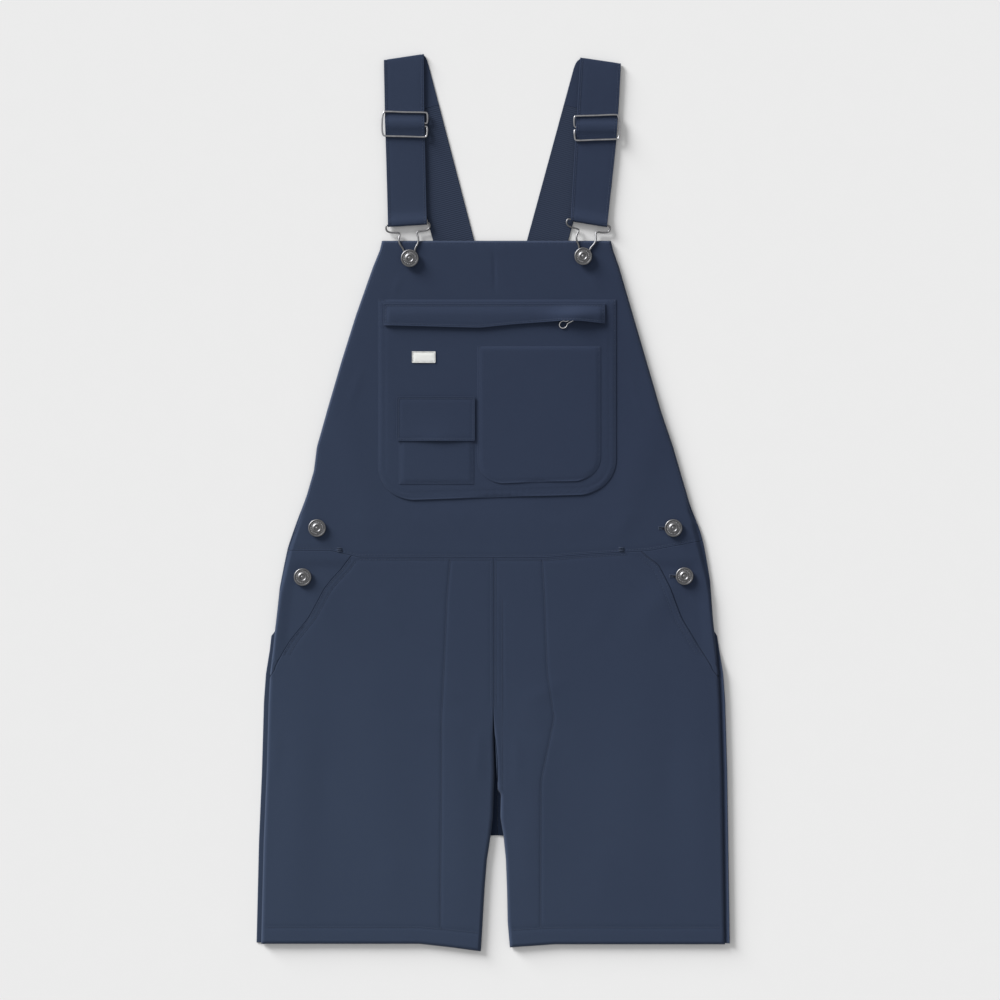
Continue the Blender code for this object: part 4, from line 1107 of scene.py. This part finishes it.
# %% Sweep the straps
def strap_shell(name, rows, wall, step, look, dip):
    """Sweep a flat strap through rows of six numbers, and return its grid and upward directions."""
    rows = np.array(rows)
    travelled = distances((rows[:, :3] + rows[:, 3:]) / 2)
    places = np.unique(np.concatenate([travelled, stations(0.0, travelled[-1], step)]))
    places = places[np.concatenate([[True], np.diff(places) > 0.04])]
    rows = np.stack([np.interp(places, travelled, rows[:, number]) for number in range(6)], axis=-1)
    across = stations(0.0, STRAP_WIDTH, 3.0)
    share = (across / STRAP_WIDTH)[None, :, None]
    middle = rows[:, None, :3] * (1.0 - share) + rows[:, None, 3:] * share
    travel = np.gradient(middle.mean(axis=1), axis=0)
    side = rows[:, 3:] - rows[:, :3]
    up = np.cross(travel, side)
    up /= np.linalg.norm(up, axis=1)[:, None]
    up = np.repeat(up[:, None, :], len(across), axis=1)
    uv = np.meshgrid(across, places)
    piece = cloth_shell(name, middle, up, wall, look, dip(*uv), tuple(uv))
    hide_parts(name.removesuffix("_cloth"))
    print(name, round(STRAP_WIDTH, 1), "x", round(places[-1], 1), "mm,", len(piece.data.polygons), "faces")
    return middle, up


STRAP_SEAM = 2.4
STRAP_GRIDS = {}           # the middle grid and the upward directions of each front strap


def strap_dip(across, along):
    """Two sewn lines, one near each edge of a strap."""
    near = np.minimum(np.abs(across - STRAP_SEAM), np.abs(STRAP_WIDTH - STRAP_SEAM - across))
    return (0.22 * np.exp(-(near / SEW_WIDTH) ** 2) + 0.05 * np.exp(-(near / 3.0) ** 2)) * puckered(along)


def elastic_dip(across, along):
    """Ribs across the elastic, which fade at its edges."""
    edge = smooth(np.minimum(across, STRAP_WIDTH - across) / 2.0)
    return 0.13 * edge * (0.5 + 0.5 * np.cos(along * 2 * pi / ELASTIC_RIB))


for side in ("left", "right"):
    path = round_corners(strap_sections(side)[::-1], False, 3)
    name = "front_strap_" + side
    STRAP_GRIDS[name] = strap_shell(name + "_cloth", path, STRAP, 3.0, CLOTH_LOOK, strap_dip)
    levels = (ELASTIC_TOP + GAP - SEAM_GAP, 350.0, 290.0, 230.0, 200.0)
    edges = [(back_edge(side, "left", level), back_edge(side, "right", level)) for level in levels]
    foot = YOKE_TOP + GAP
    edges.append([(back_edge(side, edge, foot)[0], foot) for edge in ("left", "right")])
    rows = [(*west, ELASTIC / 2, *east, ELASTIC / 2) for west, east in edges]
    strap_shell("elastic_" + side + "_cloth", rows, ELASTIC, 0.55, ELASTIC_LOOK, elastic_dip)

# %% [markdown]
# ## Stamped buttons
#
# A work button is stamped from thin sheet: its edge is rolled over, a sunk channel runs inside the rim,
# and a ring and a small boss rise in the middle. By hand it grows from one round face, which is
# extruded upwards and resized step by step along the half section. The lettering of the real button is
# left out, and a ring of plain pips takes its place in the channel.

# %% Buttons
BUTTON_SIDES = 48
BUTTON_HEAD = 2.9          # from the top of the neck to the top of the centre ring
NECK_RADIUS = 3.6
BUTTON_SECTION = (         # radius, and height above the top of the neck
    (8.1, 0.0), (8.9, 0.25), (9.3, 0.8), (9.25, 1.45), (8.95, 1.95), (8.45, 2.2), (7.95, 2.1),
    (7.6, 1.65), (7.3, 1.4), (6.4, 1.45), (5.5, 1.6), (5.0, 1.75), (4.6, 2.1), (4.2, 2.65),
    (3.75, 2.9), (3.25, 2.75), (2.85, 2.2), (2.5, 1.8), (2.0, 1.75), (1.5, 2.05), (1.0, 2.35), (0.4, 2.45),
)
PIP_RING = 6.2
PIP_COUNT = 20
PIP_RADIUS = 0.7
PIP_LEVEL = 1.6            # height of the pips' middles above the top of the neck


def leave_edit(smooth_angle=40.0):
    """Turn all faces outwards, leave edit mode and shade round surfaces smooth."""
    bpy.ops.mesh.select_all(action="SELECT")
    bpy.ops.mesh.remove_doubles(threshold=1e-6)
    bpy.ops.mesh.normals_make_consistent(inside=False)
    bpy.ops.object.mode_set(mode="OBJECT")
    bpy.ops.object.shade_smooth_by_angle(angle=radians(smooth_angle))


def place_in_mesh(piece, name, look, slot, body, *nodes):
    """Apply the piece's place to its mesh, and give it its name, finish, body and nodes. The slot is not
    used.
    """
    select_only(piece)
    bpy.ops.object.transform_apply(location=True, rotation=True, scale=True)
    piece.name = name
    piece.data.materials.clear()
    piece.data.materials.append(look)
    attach(piece, body)
    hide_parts(*nodes)
    return piece


def grow_button(section, sides):
    """Extrude a round face up a half section, from its first radius to its last."""
    bpy.ops.object.select_all(action="DESELECT")
    bpy.ops.mesh.primitive_circle_add(vertices=sides, radius=section[0][0] * MM, fill_type="NGON")
    bpy.ops.object.mode_set(mode="EDIT")
    for (radius, height), (wider, higher) in zip(section, section[1:]):
        bpy.ops.mesh.extrude_region_move(TRANSFORM_OT_translate={"value": (0, 0, (higher - height) * MM)})
        bpy.ops.transform.resize(value=(wider / radius, wider / radius, 1.0),
                                 center_override=(0.0, 0.0, higher * MM))
    leave_edit()
    return bpy.context.object


def add_pips(button, height):
    """A ring of small round pips, joined to the button."""
    for count in range(PIP_COUNT):
        turn = 2 * pi * count / PIP_COUNT
        bpy.ops.mesh.primitive_ico_sphere_add(subdivisions=2, radius=PIP_RADIUS * MM, location=(
            PIP_RING * cos(turn) * MM, PIP_RING * sin(turn) * MM, height * MM))
        bpy.ops.transform.resize(value=(1.0, 1.0, 0.6))
        bpy.ops.object.transform_apply(location=True, rotation=True, scale=True)
        bpy.ops.object.shade_smooth()
        button.select_set(True)
        bpy.context.view_layer.objects.active = button
        bpy.ops.object.join()


for name in sorted(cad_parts):
    if "_button_" not in name:
        continue
    low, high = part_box(name)
    neck = (high.z - low.z) / MM - BUTTON_HEAD
    section = [(NECK_RADIUS, 0.0), (NECK_RADIUS, neck)]
    section += [(radius, neck + height) for radius, height in BUTTON_SECTION]
    button = grow_button(section, BUTTON_SIDES)
    add_pips(button, neck + PIP_LEVEL)
    button.location = ((low.x + high.x) / 2, (low.y + high.y) / 2, low.z)
    place_in_mesh(button, name + "_stamped", GUNMETAL_LOOK, "gunmetal", "garment", name)
print("buttons: 6, each", len(button.data.polygons), "faces")

# %% [markdown]
# ## Bent wire
#
# The bib hooks and strap sliders are one length of steel wire each, bent in a jig. A curve with a round
# bevel is the natural tool: its points are the plain solid's own, their corners are cut until the bends
# are smooth, and the curve is made a mesh. The hook is closed round the strap's bar, and the slider's
# two ends lie side by side as its middle bar, so an open wire gets rounded tips.

# %% Hooks and sliders
GLIDE_PATH = (             # share of the half width, share of the half height, and share of the rise
    (-0.86, 0.11, 0.0), (0.94, 0.11, 0.0), (1.00, 0.14, 0.3), (1.02, 0.42, 0.8), (1.00, 0.94, 1.0),
    (0.90, 1.00, 1.0), (0.0, 0.97, 1.0), (-0.88, 1.00, 1.0), (-0.98, 0.92, 1.0), (-1.03, 0.40, 0.9),
    (-1.03, -0.40, 0.9), (-0.98, -0.92, 1.0), (-0.88, -1.00, 1.0), (0.0, -0.98, 1.0), (0.90, -1.00, 1.0),
    (1.00, -0.94, 1.0), (1.02, -0.42, 0.8), (1.00, -0.14, 0.3), (0.94, -0.11, 0.0), (-0.86, -0.11, 0.0),
)
GLIDE_TURN = {"left": -1.5, "right": 2.0}


def bent_wire(points, thickness, closed, sides=3):
    """A round wire along points in millimetres, as a closed mesh."""
    bpy.ops.object.select_all(action="DESELECT")
    bpy.ops.curve.primitive_nurbs_path_add()
    wire = bpy.context.object
    wire.data.splines.clear()
    spline = wire.data.splines.new("POLY")
    spline.points.add(len(points) - 1)
    for point, place in zip(spline.points, points):
        point.co = (*(value * MM for value in place), 1.0)
    spline.use_cyclic_u = closed
    if not closed:
        spline.points[0].radius = spline.points[-1].radius = 0.55
    wire.data.bevel_depth = thickness / 2 * MM
    wire.data.bevel_resolution = sides
    wire.data.use_fill_caps = not closed
    bpy.ops.object.convert(target="MESH")
    bpy.ops.object.mode_set(mode="EDIT")
    leave_edit(60.0)
    return bpy.context.object


def turned_about(x, y, out, up, degrees):
    """A point that lies out and up from a centre, turned about it."""
    turn = radians(degrees)
    return x + out * cos(turn) - up * sin(turn), y + out * sin(turn) + up * cos(turn)


def hook_points(side):
    """The hook's closed path: level on the bib under the button, falling to the strap's bar."""
    x, y = BIB_BUTTONS[side]
    on_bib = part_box("bib_hook_" + side)[1].z / MM - WIRE / 2
    whole = [(-out, up) for out, up in HOOK_HALF] + list(reversed(HOOK_HALF))
    return [(*turned_about(x, y, out, up, HOOK_TURN[side]),
             on_bib + (BAR_HEIGHT - on_bib) * float(smooth((up - 18.0) / 9.0))) for out, up in whole]


def glide_points(side):
    """The slider's open path, over the strap round its sides and under it along its middle bar."""
    level = GLIDE_LEVEL[side]
    centre = sum(float(read(FRONT_STRAPS[side], "y", edge, level)) for edge in ("outer", "inner")) / 2
    mirror = -1.0 if side == "right" else 1.0
    over_strap = REST + 2 * STRAP + 2 * GAP + WIRE / 2
    under_strap = REST + STRAP + GAP + WIRE / 2
    points = []
    for wide, tall, over in GLIDE_PATH:
        out, up = mirror * wide * GLIDE_WIDTH / 2, tall * GLIDE_HEIGHT / 2
        points.append((*turned_about(centre, level, out, up, GLIDE_TURN[side]),
                       under_strap + (over_strap - under_strap) * over))
    return points


for side in ("left", "right"):
    hook = bent_wire(round_corners(hook_points(side), True, 3), WIRE, True)
    place_in_mesh(hook, "bib_hook_" + side + "_wire", GUNMETAL_LOOK, "gunmetal", "garment",
                  "bib_hook_" + side)
    glide = bent_wire(round_corners(glide_points(side), False, 3), WIRE, False)
    place_in_mesh(glide, "strap_slider_" + side + "_wire", WIRE_LOOK, "gunmetal", "garment",
                  "strap_slider_" + side)
print("wires: hook", len(hook.data.polygons), "faces, slider", len(glide.data.polygons), "faces")

# %% [markdown]
# ## The zip
#
# The pocket's zip lies under the long flap. Its teeth are small blocks along the tape, its slider a
# plate with turned-in edges and a bridge, and its pull one bright wire, bent to a narrow neck and a round
# loop. The pull is the only piece of the garment that can swing, so it rides on its own body.

# %% Zip teeth
TOOTH = {"pitch": 1.6, "wide": 0.9, "long": 2.6, "tall": 0.7}
TOOTH_START, TOOTH_END = -104.0, 108.0
TEETH_LEVEL = 196.0
TOOTH_STAGGER = 0.35
TOOTH_SINK = 0.05
UNDER_SLIDER = 5.4         # half of the stretch where the slider presses the teeth flat
FLAT_TOOTH = 0.3           # share of a tooth's height that is left there
FLAT_DROP = 0.35

bpy.ops.object.select_all(action="DESELECT")
bpy.ops.mesh.primitive_cube_add(size=MM, location=(0.0, 0.0, 0.0))
teeth = bpy.context.object
bpy.ops.transform.resize(value=(TOOTH["wide"], TOOTH["long"], TOOTH["tall"]))
bpy.ops.object.transform_apply(location=True, rotation=True, scale=True)
bpy.ops.object.mode_set(mode="EDIT")
bpy.ops.mesh.bevel(offset=0.18 * MM, segments=1, affect="EDGES")
leave_edit(30.0)
repeat = teeth.modifiers.new("repeat", "ARRAY")
repeat.use_relative_offset = False
repeat.use_constant_offset = True
repeat.constant_offset_displace = (TOOTH["pitch"] * MM, 0.0, 0.0)
repeat.count = int((TOOTH_END - TOOTH_START) / TOOTH["pitch"])
repeat.merge_threshold = 1e-5
bpy.ops.object.modifier_apply(modifier="repeat")
tape_top = on_front(LAYER + TAPE)
for corner in teeth.data.vertices:
    number = round(corner.co.x / MM / TOOTH["pitch"])
    x = TOOTH_START + number * TOOTH["pitch"]
    under_slider = abs(x - SLIDER_PLACE[0]) < UNDER_SLIDER
    lift = float(tape_top(np.array(x), np.array(TEETH_LEVEL))) + TOOTH["tall"] / 2 - TOOTH_SINK
    corner.co.x += TOOTH_START * MM
    corner.co.y += (TEETH_LEVEL + TOOTH_STAGGER * (number % 2 * 2 - 1)) * MM
    height = FLAT_TOOTH if under_slider else 1.0
    corner.co.z = corner.co.z * height + (lift - FLAT_DROP * under_slider) * MM
place_in_mesh(teeth, "zip_teeth", TAPE_LOOK, "cloth", "garment")
print("zip teeth:", len(teeth.data.polygons), "faces")

# %% Zip slider and pull
SLIDER_HALF = (4.6, 3.6)
SLIDER_WALL = 1.0
BRIDGE_POST = 0.9
BRIDGE_WALL = 0.5
BRIDGE_WIRE = 0.72
PULL_TURN = 207.0
PULL_SETBACK = 2.9
PULL_LEVEL = 5.0
PULL_LINK = 10.8
PULL_LOOP = 4.2
PULL_NECK = 1.1
PULL_WIRE = 1.2

forward = np.array((cos(radians(PULL_TURN)), sin(radians(PULL_TURN)), 0.0))
sideways = np.array((-forward[1], forward[0], 0.0))
slider_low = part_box("zip_slider")[0].z / MM
hinge = np.array((*SLIDER_PLACE, slider_low + SLIDER_WALL + GAP + PULL_WIRE / 2)) + forward * PULL_SETBACK

bpy.ops.object.select_all(action="DESELECT")
plate_place = [value * MM for value in (*SLIDER_PLACE, slider_low + SLIDER_WALL / 2)]
bpy.ops.mesh.primitive_cube_add(size=MM, location=plate_place)
bpy.ops.transform.resize(value=(2 * SLIDER_HALF[0], 2 * SLIDER_HALF[1], SLIDER_WALL))
bpy.ops.object.transform_apply(location=False, rotation=True, scale=True)
plate = bpy.context.object
bpy.ops.object.mode_set(mode="EDIT")
bpy.ops.mesh.select_all(action="DESELECT")
bpy.ops.object.mode_set(mode="OBJECT")
for face in plate.data.polygons:
    face.select = face.normal.x > 0.9
bpy.ops.object.mode_set(mode="EDIT")
bpy.ops.transform.resize(value=(1.0, 0.62, 1.0))
bpy.ops.mesh.select_all(action="SELECT")
bpy.ops.mesh.bevel(offset=0.28 * MM, segments=3, affect="EDGES")
leave_edit(40.0)
bridge_out = PULL_NECK + PULL_WIRE / 2 + GAP + BRIDGE_POST / 2
bridge_top = SLIDER_WALL + PULL_WIRE + 2 * GAP + BRIDGE_WALL / 2
bridge = []
for aside, up in ((-bridge_out, 0.4), (-bridge_out, bridge_top * 0.8), (-bridge_out * 0.8, bridge_top),
                  (bridge_out * 0.8, bridge_top), (bridge_out, bridge_top * 0.8), (bridge_out, 0.4)):
    bridge.append(np.array((hinge[0], hinge[1], slider_low + up)) + sideways * aside)
bent_wire(round_corners(bridge, False, 2), BRIDGE_WIRE, False)
plate.select_set(True)
bpy.context.view_layer.objects.active = plate
bpy.ops.object.join()
place_in_mesh(plate, "zip_slider_plate", SILVER_LOOK, "silver", "garment", "zip_slider")

pull_low, pull_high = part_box("zip_pull")
drop = (pull_low.z - pull_high.z) / MM + PULL_WIRE
half = [(0.0, PULL_NECK), (2.0, PULL_NECK), (PULL_LEVEL, PULL_NECK), (PULL_LINK - 1.0, PULL_NECK)]
half += [(PULL_LINK + PULL_LOOP * (1.0 - cos(radians(turned))), PULL_LOOP * 0.9 * sin(radians(turned)))
         for turned in range(24, 180, 24)]
points = []
for ahead, aside in half + [(ahead, -aside) for ahead, aside in reversed(half)]:
    share = min(max((ahead - PULL_LEVEL) / (PULL_LINK - PULL_LEVEL), 0.0), 1.0)
    points.append(hinge + forward * ahead + sideways * aside + np.array((0.0, 0.0, drop * share)))
pull = bent_wire(round_corners(points, True, 3), PULL_WIRE, True)
place_in_mesh(pull, "zip_pull_wire", SILVER_LOOK, "silver", "pull", "zip_pull")
print("pull hinge at", [round(float(value), 2) for value in hinge], "mm")

# %% [markdown]
# ## Stitches
#
# Topstitching on this cloth is tone on tone: the thread is navy too, so it shows only as a fine row of
# raised grains. Each stitch is a short lozenge whose ends dive into the cloth. It has ten points, so
# thousands of them stay light, and all the stitches of one piece are joined as one mesh.

# %% Thread
STITCH_PITCH = 3.1
STITCH_LENGTH = 2.35
STITCH_THICK = 0.46
STITCH_DIVE = 0.30
UP = np.array((0.0, 0.0, 1.0))


def stitch_places(path, pitch):
    """Middles and directions of the stitches along a path of three-dimensional points."""
    travelled = distances(path)
    count = max(int(travelled[-1] / pitch), 1)
    places = (np.arange(count) + 0.5) * travelled[-1] / count
    middles, ahead, before = (
        np.stack([np.interp(places + shift, travelled, path[:, axis]) for axis in range(3)], axis=-1)
        for shift in (0.0, 0.4, -0.4))
    run = ahead - before
    return middles, run / np.linalg.norm(run, axis=1)[:, None]


def sew(name, runs, look=THREAD_LOOK):
    """Join the stitches of all runs. A run has a path, and may have its own pitch, length and thickness."""
    points, faces = [], []
    for run in runs:
        pitch, length = run.get("pitch", STITCH_PITCH), run.get("length", STITCH_LENGTH)
        thick = run.get("thick", STITCH_THICK)
        middles, ahead = stitch_places(run["path"], pitch)
        aside = np.cross(UP, ahead)
        aside /= np.linalg.norm(aside, axis=1)[:, None]
        if run.get("crosswise"):
            ahead, aside = aside, ahead
        crown = middles + UP * thick * 0.35
        stitch = [middles - ahead * length / 2 - UP * STITCH_DIVE]
        for end in (-0.3, 0.3):
            ring = crown + ahead * length * end
            stitch += [ring + way * thick / 2 for way in (aside, UP, -aside, -UP)]
        stitch.append(middles + ahead * length / 2 - UP * STITCH_DIVE)
        first = sum(len(block) for block in points)
        block = np.stack(stitch, axis=1)
        points.append(block.reshape(-1, 3))
        for number in range(len(block)):
            base = first + 10 * number
            for side in range(4):
                after = (side + 1) % 4
                faces.append((base, base + 1 + side, base + 1 + after))
                faces.append((base + 1 + side, base + 5 + side, base + 5 + after, base + 1 + after))
                faces.append((base + 5 + side, base + 9, base + 5 + after))
    select_only(mesh_piece(name, np.concatenate(points), faces, look))
    bpy.ops.object.mode_set(mode="EDIT")
    bpy.ops.mesh.select_all(action="SELECT")
    bpy.ops.mesh.normals_make_consistent(inside=False)
    bpy.ops.object.mode_set(mode="OBJECT")
    print(name, sum(len(block) for block in points) // 10, "stitches")


def lifted(line, height, step=1.2):
    """A path in the plane, divided evenly and lifted on to the cloth."""
    flat = np.concatenate([line, np.zeros((len(line), 1))], axis=1)
    travelled = distances(flat)
    places = np.linspace(0.0, travelled[-1], max(int(travelled[-1] / step), 2))
    x, y = (np.interp(places, travelled, line[:, axis]) for axis in range(2))
    return np.stack([x, y, height(x, y)], axis=-1)


# %% Sew the panels and patches
for name, lines in SEWN.items():
    if lines and name != "label":
        sew("stitches_" + name, [{"path": lifted(line, height)} for line, height in lines])
sew("stitches_label", [{"path": lifted(line, height), "pitch": 1.5, "length": 1.1, "thick": 0.3}
                       for line, height in SEWN["label"]])

# %% Sew the straps
for name, (middle, up) in STRAP_GRIDS.items():
    shows = up[:, 0, 2] > 0.3
    runs = []
    for across in (STRAP_SEAM, STRAP_WIDTH - STRAP_SEAM):
        share = across / STRAP_WIDTH
        path = middle[shows, 0] * (1.0 - share) + middle[shows, -1] * share
        runs.append({"path": path + up[shows, 0] * (STRAP / 2 - 0.2)})
    sew("stitches_" + name, runs)

# %% [markdown]
# ## Bar tacks and buttonholes
#
# Where a pocket mouth meets the waist seam, three heavy threads hold the corner. Beside the buttons of
# the right side, the inner ends of the buttonholes show: two rows of close stitches across the slit,
# closed by a short bar. The slit between the rows is a dark strip of painted shade.

# %% Tacks and buttonholes
TACKS = ((-161.0, -49.5), (134.5, -49.0))
TACK_LENGTH = 7.0
TACK_ROWS = (-1.7, 0.0, 1.7)
TACK_STITCH = {"pitch": TACK_LENGTH, "length": TACK_LENGTH, "thick": 0.9}
HOLE_LENGTH = 15.0
HOLE_ROWS = (-1.1, 1.1)
HOLE_BAR = 1.9             # half the length of the row across a buttonhole's end
ROW_STITCH = {"pitch": 0.62, "length": 1.9, "thick": 0.5, "crosswise": True}
BAR_STITCH = {"pitch": 0.6, "length": 2.0, "thick": 0.6, "crosswise": True}
# The slit is painted shade: a dark strip laid along it
SLIT_SHADE_STITCH = {"pitch": HOLE_LENGTH, "length": HOLE_LENGTH, "thick": 1.3}
cloth_top = on_front(-GAP)


def straight_run(start, end, cloth, stitch):
    """A straight run of one kind of stitch, laid on the cloth."""
    return {"path": lifted(np.array([start, end]), cloth), **stitch}


runs, slit_shade_runs = [], []
for x, y in TACKS:
    for row in TACK_ROWS:
        start, end = (x - TACK_LENGTH / 2, y + row), (x + TACK_LENGTH / 2, y + row)
        runs.append(straight_run(start, end, cloth_top, TACK_STITCH))
for name in ("side_button_upper_right", "side_button_lower_right"):
    low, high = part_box(name)
    x, y = (low.x + high.x) / 2 / MM, (low.y + high.y) / 2 / MM
    cloth = cloth_top if "upper" in name else lambda px, py: facing_lift(px, py) + CLOTH
    end = x - HOLE_LENGTH
    for row in HOLE_ROWS:
        runs.append(straight_run((end, y + row), (x, y + row), cloth, ROW_STITCH))
    runs.append(straight_run((end, y - HOLE_BAR), (end, y + HOLE_BAR), cloth, BAR_STITCH))
    # Each slit's dark strip is painted shade
    slit_shade_runs.append(straight_run((end + 1.0, y), (x, y), cloth, SLIT_SHADE_STITCH))
sew("tacks_and_buttonholes", runs)
sew("buttonhole_slit_shade", slit_shade_runs, SLIT_SHADE_LOOK)
